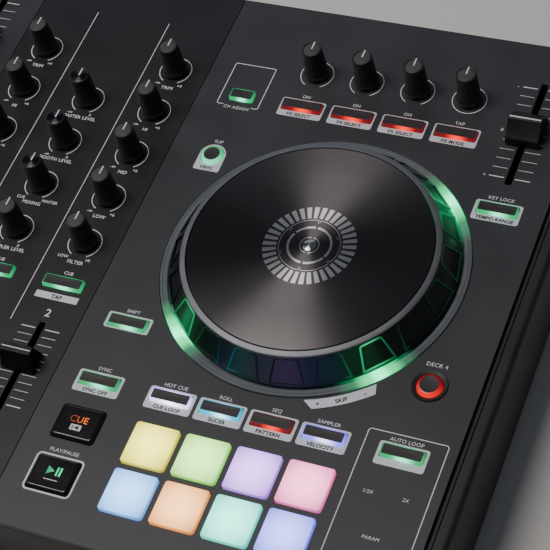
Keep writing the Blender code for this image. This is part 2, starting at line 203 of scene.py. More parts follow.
def chain(name: str, path: list[Point]) -> Piece:
    """A line of vertices in the XZ plane, drawn from one point on by extrusion.

    Args:
        name: The line's name.
        path: The x and z of each vertex.

    Returns:
        The line.
    """
    bpy.ops.object.select_all(action="DESELECT")
    bpy.ops.mesh.primitive_plane_add(size=0.001, location=(0.0, 0.0, 0.0))
    piece = bpy.context.active_object
    piece.name = piece.data.name = name
    bpy.ops.object.mode_set(mode="EDIT")
    bpy.ops.mesh.select_mode(type="VERT")
    bpy.ops.mesh.merge(type="CENTER")
    bpy.ops.transform.translate(value=(path[0][0], 0.0, path[0][1]))
    for before, after in zip(path, path[1:]):
        step = (after[0] - before[0], 0.0, after[1] - before[1])
        bpy.ops.mesh.extrude_region_move(TRANSFORM_OT_translate={"value": step})
    bpy.ops.object.mode_set(mode="OBJECT")
    return piece


def turned(name: str, profile: list[Point], steps: int = 64, closed: bool = False) -> Piece:
    """A shape spun about Z.

    Args:
        name: The piece's name.
        profile: (radius, height) points, in order.
        steps: How many steps the spin takes.
        closed: Whether the profile is a loop that stays off the axis.

    Returns:
        The piece, smooth where its edges are soft.
    """
    piece = chain(name, profile + [profile[0]] if closed else profile)
    solo(piece)
    bpy.ops.object.mode_set(mode="EDIT")
    bpy.ops.mesh.select_all(action="SELECT")
    bpy.ops.mesh.remove_doubles(threshold=1e-6)
    bpy.ops.mesh.select_all(action="SELECT")
    bpy.ops.mesh.spin(steps=steps, angle=2 * math.pi, center=(0, 0, 0), axis=(0, 0, 1))
    bpy.ops.mesh.select_all(action="SELECT")
    bpy.ops.mesh.remove_doubles(threshold=1e-6)
    bpy.ops.mesh.normals_make_consistent(inside=False)
    bpy.ops.object.mode_set(mode="OBJECT")
    return smooth(piece)


def smooth(piece: Piece, degrees: float = 35.0) -> Piece:
    """Shades a piece smooth except at edges sharper than an angle.

    Args:
        piece: The piece.
        degrees: The angle from which an edge stays sharp.

    Returns:
        The same piece.
    """
    solo(piece)
    bpy.ops.object.shade_smooth_by_angle(angle=math.radians(degrees))
    return piece


def soften(piece: Piece, width: float, segments: int = 3, degrees: float = 30.0) -> Piece:
    """Rounds every edge sharper than an angle, and keeps the flat faces' shading flat.

    Args:
        piece: The piece.
        width: Width of the rounding.
        segments: How many facets round it.
        degrees: The angle from which an edge is rounded.

    Returns:
        The same piece.
    """
    smooth(piece)
    bevel = piece.modifiers.new("rounded", "BEVEL")
    bevel.width = width
    bevel.segments = segments
    bevel.limit_method = "ANGLE"
    bevel.angle_limit = math.radians(degrees)
    bevel.use_clamp_overlap = True
    bevel.harden_normals = True
    bpy.ops.object.modifier_apply(modifier=bevel.name)
    return piece


def round_corners(piece: Piece, radius: float, segments: int = 4) -> Piece:
    """Rounds a block's upright edges.

    Args:
        piece: The block.
        radius: The corners' radius.
        segments: How many facets round them.

    Returns:
        The same block.
    """

    def upright(a: Vector, b: Vector) -> bool:
        """Whether an edge stands upright."""
        return abs(a.x - b.x) < 1e-7 and abs(a.y - b.y) < 1e-7

    with editing(piece, edges=upright):
        bpy.ops.mesh.bevel(offset=radius, segments=segments, affect="EDGES")
    return piece


def moved(piece: Piece, x: float, y: float, z: float) -> Piece:
    """Puts a piece at its place, with the place in its mesh."""
    piece.location = (x, y, z)
    return settle(piece)


def copied(piece: Piece, name: str, x: float, y: float, z: float, turn: float = 0.0) -> Piece:
    """A copy of a piece with a mesh of its own, turned about Z and then moved.

    Args:
        piece: The piece to copy.
        name: The copy's name.
        x: Move along X.
        y: Move along Y.
        z: Move along Z.
        turn: Turn about Z, in radians.

    Returns:
        The copy.
    """
    twin = piece.copy()
    twin.data = piece.data.copy()
    twin.name = twin.data.name = name
    bpy.context.scene.collection.objects.link(twin)
    twin.data.transform(Matrix.Translation((x, y, z)) @ Matrix.Rotation(turn, 4, "Z"))
    return twin


def joined(name: str, pieces: list[Piece]) -> Piece:
    """Several pieces as one.

    Args:
        name: The name of the whole.
        pieces: The pieces, which are used up.

    Returns:
        The whole.
    """
    bpy.ops.object.select_all(action="DESELECT")
    for piece in pieces:
        piece.select_set(True)
    bpy.context.view_layer.objects.active = pieces[0]
    bpy.ops.object.join()
    pieces[0].name = pieces[0].data.name = name
    return pieces[0]


def discard(piece: Piece) -> None:
    """Removes a piece that only served to make others."""
    bpy.data.objects.remove(piece, do_unlink=True)


def cut(piece: Piece, cutters: list[Piece], operation: str = "DIFFERENCE") -> Piece:
    """Cuts a piece with cutters, or joins them to it, and removes them.

    Args:
        piece: The piece.
        cutters: The cutters, which are used up.
        operation: The Boolean modifier's operation.

    Returns:
        The same piece.
    """
    tool = joined("cutter", cutters) if len(cutters) > 1 else cutters[0]
    solo(piece)
    boolean = piece.modifiers.new("cut", "BOOLEAN")
    boolean.operation = operation
    boolean.solver = "EXACT"
    boolean.object = tool
    bpy.ops.object.modifier_apply(modifier=boolean.name)
    discard(tool)
    return piece


def weigh(piece: Piece, rule: Callable[[Vector], float], name: str = "glow") -> Piece:
    """Gives each vertex a number worked out from its place, for a material to read.

    Args:
        piece: The piece.
        rule: Gives the number for a place.
        name: The attribute's name.

    Returns:
        The same piece.
    """
    attribute = piece.data.attributes.new(name, "FLOAT", "POINT")
    for vertex, value in zip(piece.data.vertices, attribute.data):
        value.value = rule(vertex.co)
    return piece


# ---------------------------------------------------------------- outlines and prints


def arc(centre: Point, radius: float, start: float, end: float, steps: int = 24) -> Outline:
    """Points on an arc, with angles in degrees."""
    angles = [math.radians(start + (end - start) * i / steps) for i in range(steps + 1)]
    return [(centre[0] + radius * math.cos(a), centre[1] + radius * math.sin(a)) for a in angles]


def band(centre: Point, inner: float, outer: float, start: float, end: float,
         steps: int = 24) -> Outline:
    """The outline of a stretch of a ring."""
    return arc(centre, outer, start, end, steps) + arc(centre, inner, end, start, steps)


def rounded(left: float, front: float, right: float, rear: float, radius: float) -> Outline:
    """The outline of a rectangle with round corners.

    Args:
        left: Smallest x.
        front: Smallest y.
        right: Largest x.
        rear: Largest y.
        radius: The corners' radius.

    Returns:
        The outline.
    """
    corners = [(right, rear, 0), (left, rear, 90), (left, front, 180), (right, front, 270)]
    points: Outline = []
    for x, y, start in corners:
        centre_x = x - radius if x == right else x + radius
        centre_y = y - radius if y == rear else y + radius
        points += arc((centre_x, centre_y), radius, start, start + 90, 5)
    return points


def oblong(left: float, front: float, right: float, rear: float) -> Outline:
    """The outline of a plain rectangle."""
    return [(left, front), (right, front), (right, rear), (left, rear)]


def open_frame(left: float, front: float, right: float, rear: float, radius: float, line: float,
               gap: Point) -> Outline:
    """A round-cornered frame of a line's width with a gap in its front side.

    Args:
        left: Smallest x.
        front: Smallest y.
        right: Largest x.
        rear: Largest y.
        radius: The outer corners' radius.
        line: The line's width.
        gap: The gap's two ends along x.

    Returns:
        The outline.
    """
    sides = []
    for inset, bend in ((0.0, radius), (line, radius - line)):
        low_x, low_y, high_x, high_y = left + inset, front + inset, right - inset, rear - inset
        path = [(gap[1], low_y), *arc((high_x - bend, low_y + bend), bend, 270, 360, 5),
                *arc((high_x - bend, high_y - bend), bend, 0, 90, 5),
                *arc((low_x + bend, high_y - bend), bend, 90, 180, 5),
                *arc((low_x + bend, low_y + bend), bend, 180, 270, 5), (gap[0], low_y)]
        sides.append(path)
    return sides[0] + sides[1][::-1]


def frame_lines(left: float, front: float, right: float, rear: float, radius: float,
                line: float) -> list[Outline]:
    """A round-cornered frame of a line's width, as an outer and an inner outline."""
    inner = rounded(left + line, front + line, right - line, rear - line, max(radius - line, 0.1))
    return [rounded(left, front, right, rear, radius), inner]


class Anchor(Enum):
    """Which point of a word its place names."""

    LEFT = "LEFT"
    CENTRE = "CENTER"
    RIGHT = "RIGHT"


@dataclass
class Print:
    """One ink's marks on a panel: outlines and words, laid as thin solids.

    Attributes:
        name: The piece's name.
        origin: World x and y of the plan's zero.
        height: World height of the surface that is printed.
        weight: How far the strokes of its words are thickened, as a share of a capital's height.
        outlines: The marks that have been added.
        words: The words that have been added, as meshes.
    """

    name: str
    origin: Point
    height: float
    weight: float = 0.0
    outlines: list[Outline] = field(default_factory=list)
    words: list[Piece] = field(default_factory=list)

    def add(self, *outlines: Outline) -> None:
        """Adds closed outlines in plan millimetres; one inside another is a hole."""
        self.outlines += outlines

    def ticks(self, x: float, y: float, pitch: float, spans: tuple[Point, Point]) -> None:
        """Adds eleven pairs of ticks beside a fader's slot, with the first and last thicker.

        Args:
            x: Plan x of the slot.
            y: Plan y of the middle pair.
            pitch: Distance from pair to pair.
            spans: Where each tick of a pair starts and ends, from the slot.
        """
        for index in range(-5, 6):
            half = 0.26 if abs(index) == 5 else 0.13
            tick = y + index * pitch
            for start, end in spans:
                self.add(oblong(x + start, tick - half, x + end, tick + half))

    def word(self, text: str, x: float, y: float, cap: float, anchor: Anchor = Anchor.CENTRE,
             turn: float = 0.0) -> None:
        """Adds a word with its capitals' middle at a place.

        Args:
            text: The word.
            x: Plan x in millimetres.
            y: Plan y in millimetres of the middle of its capitals.
            cap: Height of a capital in millimetres.
            anchor: Which end of the word x names.
            turn: Turn in degrees about the place.
        """
        bpy.ops.object.select_all(action="DESELECT")
        bpy.ops.object.text_add(location=(0.0, 0.0, 0.0))
        word = bpy.context.active_object
        word.data.body = text
        word.data.size = cap / 0.72 * MM
        word.data.align_x = anchor.value
        word.data.offset_y = -cap / 2 * MM
        word.data.space_character = 1.04
        word.data.resolution_u = 3
        word.data.extrude = INK / 2
        word.data.offset = self.weight * cap * MM
        bpy.ops.object.convert(target="MESH")
        word = bpy.context.active_object
        word.rotation_euler.z = math.radians(turn)
        word.location = (self.origin[0] + x * MM, self.origin[1] + y * MM, self.height + INK / 2)
        self.words.append(settle(word))

    def lay(self) -> Piece:
        """Makes everything that was added one mesh piece.

        Returns:
            The printed piece.
        """
        pieces = list(self.words)
        if self.outlines:
            curve = bpy.data.curves.new(self.name, "CURVE")
            curve.dimensions = "2D"
            curve.fill_mode = "BOTH"
            curve.extrude = INK / 2
            for outline in self.outlines:
                spline = curve.splines.new("POLY")
                spline.points.add(len(outline) - 1)
                for point, (x, y) in zip(spline.points, outline):
                    point.co = (x * MM, y * MM, 0.0, 1.0)
                spline.use_cyclic_u = True
            marks = bpy.data.objects.new(self.name, curve)
            bpy.context.scene.collection.objects.link(marks)
            marks.location = (*self.origin, self.height + INK / 2)
            solo(marks)
            bpy.ops.object.convert(target="MESH")
            pieces.append(settle(bpy.context.active_object))
        return joined(self.name, pieces)


# ---------------------------------------------------------------- finishes


def linear(colour: str) -> tuple[float, float, float, float]:
    """A hex sRGB colour such as 2b2c2e as linear red, green, blue and alpha.

    Args:
        colour: Six hex digits.

    Returns:
        The linear colour.
    """
    channels = [int(colour[i : i + 2], 16) / 255 for i in (0, 2, 4)]
    low = [c / 12.92 if c <= 0.04045 else ((c + 0.055) / 1.055) ** 2.4 for c in channels]
    return (low[0], low[1], low[2], 1.0)


def add_node(tree: bpy.types.NodeTree, kind: str, settings: dict | None = None,
             inputs: dict | None = None) -> bpy.types.Node:
    """Adds a node, sets its properties and sets or links its inputs.

    Args:
        tree: The material's node tree.
        kind: The node's type.
        settings: Its properties by name.
        inputs: Its inputs by name or number, each a value or a socket to link.

    Returns:
        The node.
    """
    node = tree.nodes.new(kind)
    for name, value in (settings or {}).items():
        setattr(node, name, value)
    for name, value in (inputs or {}).items():
        if isinstance(value, bpy.types.NodeSocket):
            tree.links.new(value, node.inputs[name])
        else:
            node.inputs[name].default_value = value
    return node


def set_ramp(ramp: bpy.types.Node, stops: list[tuple[float, str]], ease: bool = True) -> None:
    """Gives a colour ramp its stops, each a place and a hex colour.

    Args:
        ramp: The colour ramp.
        stops: Its stops, in order.
        ease: Whether the colours ease into each other.
    """
    elements = ramp.color_ramp.elements
    ramp.color_ramp.interpolation = "EASE" if ease else "LINEAR"
    for index, (place, colour) in enumerate(stops):
        element = elements[index] if index < 2 else elements.new(place)
        element.position = place
        element.color = linear(colour)


def per(size_mm: float) -> float:
    """A texture scale that gives features of a size in millimetres."""
    return 1.0 / (size_mm * MM)


@dataclass(frozen=True)
class Finish:
    """A surface with a mottled colour, a varying roughness and a fine grain.

    Attributes:
        name: The material's name, which says what it is.
        colour: Base colour, hex sRGB.
        second: The colour that it is mottled with.
        roughness: Lowest and highest roughness.
        grain: Size of the surface's grain, in millimetres.
        relief: How strongly the grain stands up.
        patch: Size of the mottling and of the roughness's variation, in millimetres.
        metallic: 1 for bare metal, 0 for anything else.
        coat: Weight of a clear coat.
        sheen: Weight of the soft sheen that rubber has.
        ior: Index of refraction.
    """

    name: str
    colour: str
    second: str
    roughness: tuple[float, float] = (0.4, 0.5)
    grain: float = 0.5
    relief: float = 0.1
    patch: float = 12.0
    metallic: float = 0.0
    coat: float = 0.0
    sheen: float = 0.0
    ior: float = 1.5

    def make(self) -> bpy.types.Material:
        """The material, made once and then shared.

        Returns:
            The material.
        """
        known = bpy.data.materials.get(self.name)
        if known:
            return known
        material = bpy.data.materials.new(self.name)
        material.use_nodes = True
        tree = material.node_tree
        shader = tree.nodes["Principled BSDF"]
        shader.inputs["Metallic"].default_value = self.metallic
        shader.inputs["Coat Weight"].default_value = self.coat
        shader.inputs["Coat Roughness"].default_value = 0.08
        shader.inputs["Sheen Weight"].default_value = self.sheen
        if not self.metallic:
            shader.inputs["IOR"].default_value = self.ior
        place = add_node(tree, "ShaderNodeTexCoord").outputs["Object"]
        self.dress(tree, shader, place)
        return material

    def dress(self, tree: bpy.types.NodeTree, shader: bpy.types.Node,
              place: bpy.types.NodeSocket) -> None:
        """Links the colour, the roughness and the grain.

        Args:
            tree: The material's node tree.
            shader: Its shader.
            place: Object coordinates.
        """
        grain = add_node(tree, "ShaderNodeTexNoise", None,
                         {"Vector": place, "Scale": per(self.grain), "Detail": 3.0})
        clouds = add_node(tree, "ShaderNodeTexNoise", None,
                          {"Vector": place, "Scale": per(self.patch), "Detail": 4.0})
        blend = add_node(tree, "ShaderNodeMath", {"operation": "MULTIPLY_ADD"},
                         {0: grain.outputs["Fac"], 1: 0.6, 2: clouds.outputs["Fac"]})
        ramp = add_node(tree, "ShaderNodeValToRGB", None, {"Fac": blend.outputs[0]})
        set_ramp(ramp, [(0.55, self.colour), (1.05, self.second)], ease=False)
        tree.links.new(ramp.outputs["Color"], shader.inputs["Base Color"])
        rough = add_node(tree, "ShaderNodeMapRange", None, {
            "Value": clouds.outputs["Fac"], "From Min": 0.3, "From Max": 0.7,
            "To Min": self.roughness[0], "To Max": self.roughness[1]})
        tree.links.new(rough.outputs["Result"], shader.inputs["Roughness"])
        bump = add_node(tree, "ShaderNodeBump", None, {
            "Height": grain.outputs["Fac"], "Strength": self.relief,
            "Distance": 0.05 * self.grain * MM})
        tree.links.new(bump.outputs["Normal"], shader.inputs["Normal"])


@dataclass(frozen=True)
class Lit(Finish):
    """Clear plastic or silicone lit from below, brightest where the piece's glow is highest.

    Attributes:
        light: The light's colours, evenly spread from no glow to full glow.
        strength: Strength of the light at full glow.
    """

    light: tuple[str, ...] = ("000000", "ffffff")
    strength: float = 3.0

    def dress(self, tree: bpy.types.NodeTree, shader: bpy.types.Node,
              place: bpy.types.NodeSocket) -> None:
        """Adds light that follows the piece's glow to the plain finish.

        Args:
            tree: The material's node tree.
            shader: Its shader.
            place: Object coordinates.
        """
        super().dress(tree, shader, place)
        glow = add_node(tree, "ShaderNodeAttribute", {"attribute_name": "glow"})
        ramp = add_node(tree, "ShaderNodeValToRGB", None, {"Fac": glow.outputs["Fac"]})
        last = len(self.light) - 1
        set_ramp(ramp, [(i / last, colour) for i, colour in enumerate(self.light)], ease=False)
        tree.links.new(ramp.outputs["Color"], shader.inputs["Emission Color"])
        power = add_node(tree, "ShaderNodeMapRange", None, {
            "Value": glow.outputs["Fac"], "To Min": 0.3 * self.strength, "To Max": self.strength})
        tree.links.new(power.outputs["Result"], shader.inputs["Emission Strength"])


@dataclass(frozen=True)
class RoundPattern(Finish):
    """A finish that goes round an axis, such as a spun disc or a ring lit at some angles.

    Attributes:
        centre: World x and y of the axis.
        stops: Colours of the light round the axis, each a share of a turn from -X and a colour.
        strength: How strong that light is; 0 for none.
        spun: Whether the surface has the fine round lines of spinning.
    """

    centre: Point = (0.0, 0.0)
    stops: tuple[tuple[float, str], ...] = ()
    strength: float = 0.0
    spun: bool = False

    def dress(self, tree: bpy.types.NodeTree, shader: bpy.types.Node,
              place: bpy.types.NodeSocket) -> None:
        """Adds the spun lines or the light round the axis to the plain finish.

        Args:
            tree: The material's node tree.
            shader: Its shader.
            place: Object coordinates.
        """
        super().dress(tree, shader, place)
        home = add_node(tree, "ShaderNodeMapping", None,
                        {"Vector": place, "Location": (-self.centre[0], -self.centre[1], 0.0)})
        if self.spun:
            self.spin_lines(tree, shader, home.outputs["Vector"])
        if self.strength:
            turn = add_node(tree, "ShaderNodeTexGradient", {"gradient_type": "RADIAL"},
                            {"Vector": home.outputs["Vector"]})
            ramp = add_node(tree, "ShaderNodeValToRGB", None, {"Fac": turn.outputs["Fac"]})
            set_ramp(ramp, list(self.stops))
            tree.links.new(ramp.outputs["Color"], shader.inputs["Emission Color"])
            shader.inputs["Emission Strength"].default_value = self.strength

    def spin_lines(self, tree: bpy.types.NodeTree, shader: bpy.types.Node,
                   place: bpy.types.NodeSocket) -> None:
        """Adds round lines and a highlight that is stretched across them.

        Args:
            tree: The material's node tree.
            shader: Its shader.
            place: Object coordinates counted from the axis.
        """
        flat = add_node(tree, "ShaderNodeVectorMath", {"operation": "MULTIPLY"},
                        {0: place, 1: (1.0, 1.0, 0.0)})
        radius = add_node(tree, "ShaderNodeVectorMath", {"operation": "LENGTH"},
                          {0: flat.outputs["Vector"]})
        lines = add_node(tree, "ShaderNodeTexNoise", {"noise_dimensions": "1D"},
                         {"W": radius.outputs["Value"], "Scale": per(self.grain), "Detail": 5.0,
                          "Roughness": 0.75})
        ramp = add_node(tree, "ShaderNodeValToRGB", None, {"Fac": lines.outputs["Fac"]})
        set_ramp(ramp, [(0.30, self.colour), (0.70, self.second)], ease=False)
        tree.links.new(ramp.outputs["Color"], shader.inputs["Base Color"])
        rough = add_node(tree, "ShaderNodeMapRange", None, {
            "Value": lines.outputs["Fac"], "From Min": 0.3, "From Max": 0.7,
            "To Min": self.roughness[0], "To Max": self.roughness[1]})
        tree.links.new(rough.outputs["Result"], shader.inputs["Roughness"])
        bump = add_node(tree, "ShaderNodeBump", None, {
            "Height": lines.outputs["Fac"], "Strength": self.relief, "Distance": 0.02 * MM})
        tree.links.new(bump.outputs["Normal"], shader.inputs["Normal"])
        along = add_node(tree, "ShaderNodeVectorMath", {"operation": "CROSS_PRODUCT"},
                         {0: (0.0, 0.0, 1.0), 1: flat.outputs["Vector"]})
        tangent = add_node(tree, "ShaderNodeVectorTransform", {
            "vector_type": "VECTOR", "convert_from": "OBJECT", "convert_to": "WORLD"},
            {"Vector": along.outputs["Vector"]})
        tree.links.new(tangent.outputs["Vector"], shader.inputs["Tangent"])
        shader.inputs["Anisotropic"].default_value = 0.9
        shader.inputs["Anisotropic Rotation"].default_value = 0.25


# Steel faceplate in satin charcoal enamel: even, with a fine orange peel that breaks the light up.
DECK_ENAMEL = Finish("satin_charcoal_enamel", "2d2e33", "333439", (0.42, 0.5), 0.45, 0.2, 30.0)
# The mixer's faceplate, in the same enamel a shade nearer black.
MIXER_ENAMEL = Finish("satin_black_enamel", "0c0d10", "101115", (0.44, 0.52), 0.45, 0.2, 30.0)
# ABS case moulded in a spark-textured tool: dull black with a visible grain.
CASE_ABS = Finish("textured_black_abs", "141416", "1c1c1f", (0.50, 0.62), 0.9, 0.6, 25.0)
# Smooth glossy ABS of the trim strip and of the fader caps.
GLOSS_ABS = Finish("polished_black_abs", "0b0b0d", "121215", (0.16, 0.24), 0.6, 0.05, 15.0)
CAP_ABS = Finish("fader_cap_abs", "0a0a0c", "101013", (0.34, 0.42), 0.5, 0.08, 10.0)
# Silver screen ink: a fine metallic flake in a pale grey, nearly matte.
SILVER_INK = Finish("silver_screen_ink", "d2d6e0", "dee2ea", (0.42, 0.52), 0.3, 0.15, 9.0, 0.1)
# White and near-black screen inks for words, scales and lines.
WHITE_INK = Finish("white_screen_ink", "e4e5e8", "f0f1f3", (0.5, 0.6), 0.3, 0.05, 6.0)
BLACK_INK = Finish("black_screen_ink", "101012", "161618", (0.5, 0.6), 0.3, 0.05, 6.0)
# Hard-coated key caps: a dark warm grey, matte from a fine bead-blast.
KEY_CAP = Finish("blasted_key_cap", "282425", "2f2b2c", (0.46, 0.56), 0.25, 0.2, 5.0)
# Soft-touch coated knob sides, and the greyer rubber of their tops.
KNOB_SIDE = Finish("soft_touch_black", "0c0c0d", "131314", (0.48, 0.6), 0.35, 0.25, 7.0, sheen=0.1)
KNOB_TOP = Finish("grey_knob_rubber", "3a3a3c", "454547", (0.6, 0.72), 0.3, 0.35, 5.0)
POINTER = Finish("pointer_white", "d4d2cc", "e2e0da", (0.45, 0.55), 0.3, 0.05, 4.0)
# Satin-polished die-cast trim of the platter's rim.
RIM_METAL = Finish("satin_zinc_trim", "6e7175", "787b7f", (0.46, 0.54), 0.3, 0.08, 12.0, 0.7)
CHROME = Finish("nickel_plate", "c8c8c6", "d6d6d4", (0.10, 0.18), 0.5, 0.05, 5.0, 1.0)
GOLD = Finish("gold_plate", "c79a45", "d6ab57", (0.16, 0.24), 0.4, 0.05, 4.0, 1.0)
SCREW_STEEL = Finish("black_oxide_steel", "2b2b2d", "38383a", (0.3, 0.42), 0.4, 0.1, 3.0, 0.9)
FOOT_RUBBER = Finish("foot_rubber", "101010", "181818", (0.75, 0.88), 0.6, 0.5, 8.0)
PHONO_RED = Finish("phono_red_abs", "8e1a16", "a02420", (0.3, 0.4), 0.4, 0.05, 4.0)
PHONO_WHITE = Finish("phono_white_abs", "c8c8c4", "d6d6d2", (0.3, 0.4), 0.4, 0.05, 4.0)
BOARD = Finish("solder_mask", "0d3a1c", "124a26", (0.35, 0.45), 0.8, 0.2, 6.0)
BEARING_STEEL = Finish("ground_steel", "8f9092", "a0a1a3", (0.25, 0.35), 0.3, 0.1, 8.0, 1.0)


class Glow(Enum):
    """The colours of the lit keys, each from its dim edge over its middle to its hot spot."""

    GREEN = ("02482a", "038048", "06a45e", "78ffc8")
    RED = ("20020a", "34030a", "6c050c", "f62a10")
    CYAN = ("06485c", "0c7ca0", "14a4c8", "98f4ff")
    WHITE = ("706cc4", "9c98e4", "d4d0fc", "ffffff")
    LAVENDER = ("3c38b8", "5854dc", "7c78f4", "dcd8ff")

    def finish(self) -> Lit:
        """The clear key base lit in this colour.

        Returns:
            The finish.
        """
        power = {"WHITE": 4.2, "CYAN": 3.4, "LAVENDER": 3.2}.get(self.name, 2.6)
        return Lit(f"lit_key_{self.name.lower()}", self.value[0], self.value[0], (0.3, 0.4), 0.6,
                   0.05, 6.0, light=self.value, strength=power)


class PadColour(Enum):
    """The pads' light, as edge and middle hex colours."""

    YELLOW = ("989020", "f6ee60")
    MINT = ("54b430", "b4f484")
    LILAC = ("7c48bc", "c898fa")
    ROSE = ("b84484", "fc94c0")
    SKY = ("3c80cc", "88c0fc")
    PEACH = ("cc7028", "fcb878")
    AQUA = ("28b0a0", "80f4dc")
    BLUE = ("444ccc", "949cfc")

    def finish(self) -> Lit:
        """Translucent silicone lit in this colour."""
        return Lit(f"pad_silicone_{self.name.lower()}", self.value[1], self.value[1], (0.5, 0.6),
                   0.7, 0.1, 8.0, light=self.value, strength=3.9)


def show(piece: Piece, finish: Finish, body: str) -> Piece:
    """Dresses a finished piece and puts it on its body.

    Args:
        piece: The piece.
        finish: Its finish.
        body: The body that it rides on.

    Returns:
        The same piece.
    """
    piece.data.materials.clear()
    piece.data.materials.append(finish.make())
    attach(piece, body)
    LOG.info("%s rides on %s", piece.name, body)
    return piece


# ---------------------------------------------------------------- keys


@dataclass
class Key:
    """A lit key: a clear base in its hole and a dark cap on it.

    Attributes:
        name: The key's name, such as right_shift_key.
        body: The body that it rides on.
        x: World x of its middle.
        y: World y of its middle.
        panel: World height of the panel.
        base: Width and depth of the clear base.
        cap: Width and depth of the cap.
        glow: The light's colour.
    """

    name: str
    body: str
    x: float
    y: float
    panel: float
    base: Point
    cap: Point
    glow: Glow

    BASE_TOP = 1.62 * MM
    CAP_TOP = 1.78 * MM
    CAP_THICKNESS = 0.4 * MM
    MARGIN = 0.9 * MM  # how much wider the clear base's top is than the cap

    def build(self) -> Piece:
        """Makes the base and the cap, and returns the base.

        Returns:
            The base.
        """
        base = block(f"{self.name}_base", *self.base, -4.0 * MM, 0.15 * MM)
        round_corners(base, 0.8 * MM, 3)
        with editing(base, faces=faces_up(0.0)):
            rise = (0.0, 0.0, self.BASE_TOP - 0.15 * MM)
            bpy.ops.mesh.extrude_region_move(TRANSFORM_OT_translate={"value": rise})
            shrink = [(cap + self.MARGIN) / base for cap, base in zip(self.cap, self.base)]
            bpy.ops.transform.resize(value=(*shrink, 1.0), center_override=(0.0, 0.0, 0.0))

        def long_edges(a: Vector, b: Vector) -> bool:
            """Whether an edge runs along the key."""
            return abs(a.x - b.x) > self.cap[0] / 2

        with editing(base, edges=long_edges):
            bpy.ops.mesh.subdivide(number_cuts=9)
        smooth(base)
        weigh(base, self.light_at)
        moved(base, self.x, self.y, self.panel)
        cap = block(f"{self.name}_cap", *self.cap, self.CAP_TOP - self.CAP_THICKNESS, self.CAP_TOP)
        round_corners(cap, 0.6 * MM, 4)
        with editing(cap, faces=faces_up(self.CAP_TOP)):
            bpy.ops.mesh.inset(thickness=0.12 * MM)
            bpy.ops.transform.translate(value=(0.0, 0.0, 0.04 * MM))
            bpy.ops.mesh.inset(thickness=0.5 * MM)
            bpy.ops.transform.translate(value=(0.0, 0.0, -0.05 * MM))
        moved(smooth(cap, 50.0), self.x, self.y, self.panel - 0.03 * MM)
        show(cap, KEY_CAP, self.body)
        return show(base, self.glow.finish(), self.body)

    def light_at(self, place: Vector) -> float:
        """How bright the base is at a place: most in the middle of its front side.

        Args:
            place: A place on the base, counted from its middle.

        Returns:
            The brightness, from 0 to 1.
        """
        front = min(1.0, max(0.6, 0.85 - 0.4 * place.y / (self.base[1] / 2)))
        along = (place.x / (self.base[0] / 2) - 0.12) / 0.48
        return front * (0.56 + 0.44 * math.exp(-along * along))


@dataclass
class RoundKey(Key):
    """A round lit key; its sizes are radii."""

    def build(self) -> Piece:
        """Makes the base and the cap, and returns the base.

        Returns:
            The base.
        """
        outer, inner = self.base[0], self.cap[0]
        profile = [(0.0, -4.0 * MM), (outer, -4.0 * MM), (outer, 0.3 * MM), (outer - 0.2 * MM, 0.6 * MM),
                   (inner + 0.7 * MM, self.BASE_TOP - 0.15 * MM), (inner + 0.3 * MM, self.BASE_TOP),
                   (0.0, self.BASE_TOP)]
        base = turned(f"{self.name}_base", profile)
        weigh(base, lambda co: 0.7 - 0.14 * co.y / outer)
        moved(base, self.x, self.y, self.panel)
        top = self.CAP_TOP
        rim = inner - 0.25 * MM
        cap = turned(f"{self.name}_cap", [
            (0.0, top - 0.12 * MM), (rim - 0.6 * MM, top - 0.12 * MM), (rim, top),
            (inner, top - 0.12 * MM), (inner, top - 0.45 * MM), (0.0, top - 0.45 * MM)])
        moved(cap, self.x, self.y, self.panel)
        show(cap, KEY_CAP, self.body)
        return show(base, self.glow.finish(), self.body)


@dataclass
class TransportKey(Key):
    """A large glossy key that fills its opening and slopes up to a flat top."""

    def build(self) -> Piece:
        """Makes the key and returns it.

        Returns:
            The key.
        """
        cap = block(f"{self.name}_cap", *self.base, -4.0 * MM, 0.1 * MM)
        round_corners(cap, 1.8 * MM, 6)
        with editing(cap, faces=faces_up(0.05 * MM)):
            bpy.ops.mesh.extrude_region_move(TRANSFORM_OT_translate={"value": (0.0, 0.0, 1.3 * MM)})
            shrink = [cap_side / base for cap_side, base in zip(self.cap, self.base)]
            bpy.ops.transform.resize(value=(*shrink, 1.0), center_override=(0.0, 0.0, 0.0))
        with editing(cap, faces=faces_up(1.35 * MM)):
            bpy.ops.mesh.bevel(offset=0.1 * MM, segments=2, affect="EDGES")
        with editing(cap, faces=faces_up(1.35 * MM)):
            bpy.ops.mesh.inset(thickness=0.7 * MM)
            bpy.ops.transform.translate(value=(0.0, 0.0, -0.03 * MM))
        moved(smooth(cap), self.x, self.y, self.panel)
        return show(cap, GLOSS_ABS, self.body)


# ---------------------------------------------------------------- knobs and fader caps


class KnobTop(Enum):
    """How a knob's top is finished."""

    RUBBER = "rubber"
    SPUN = "spun"


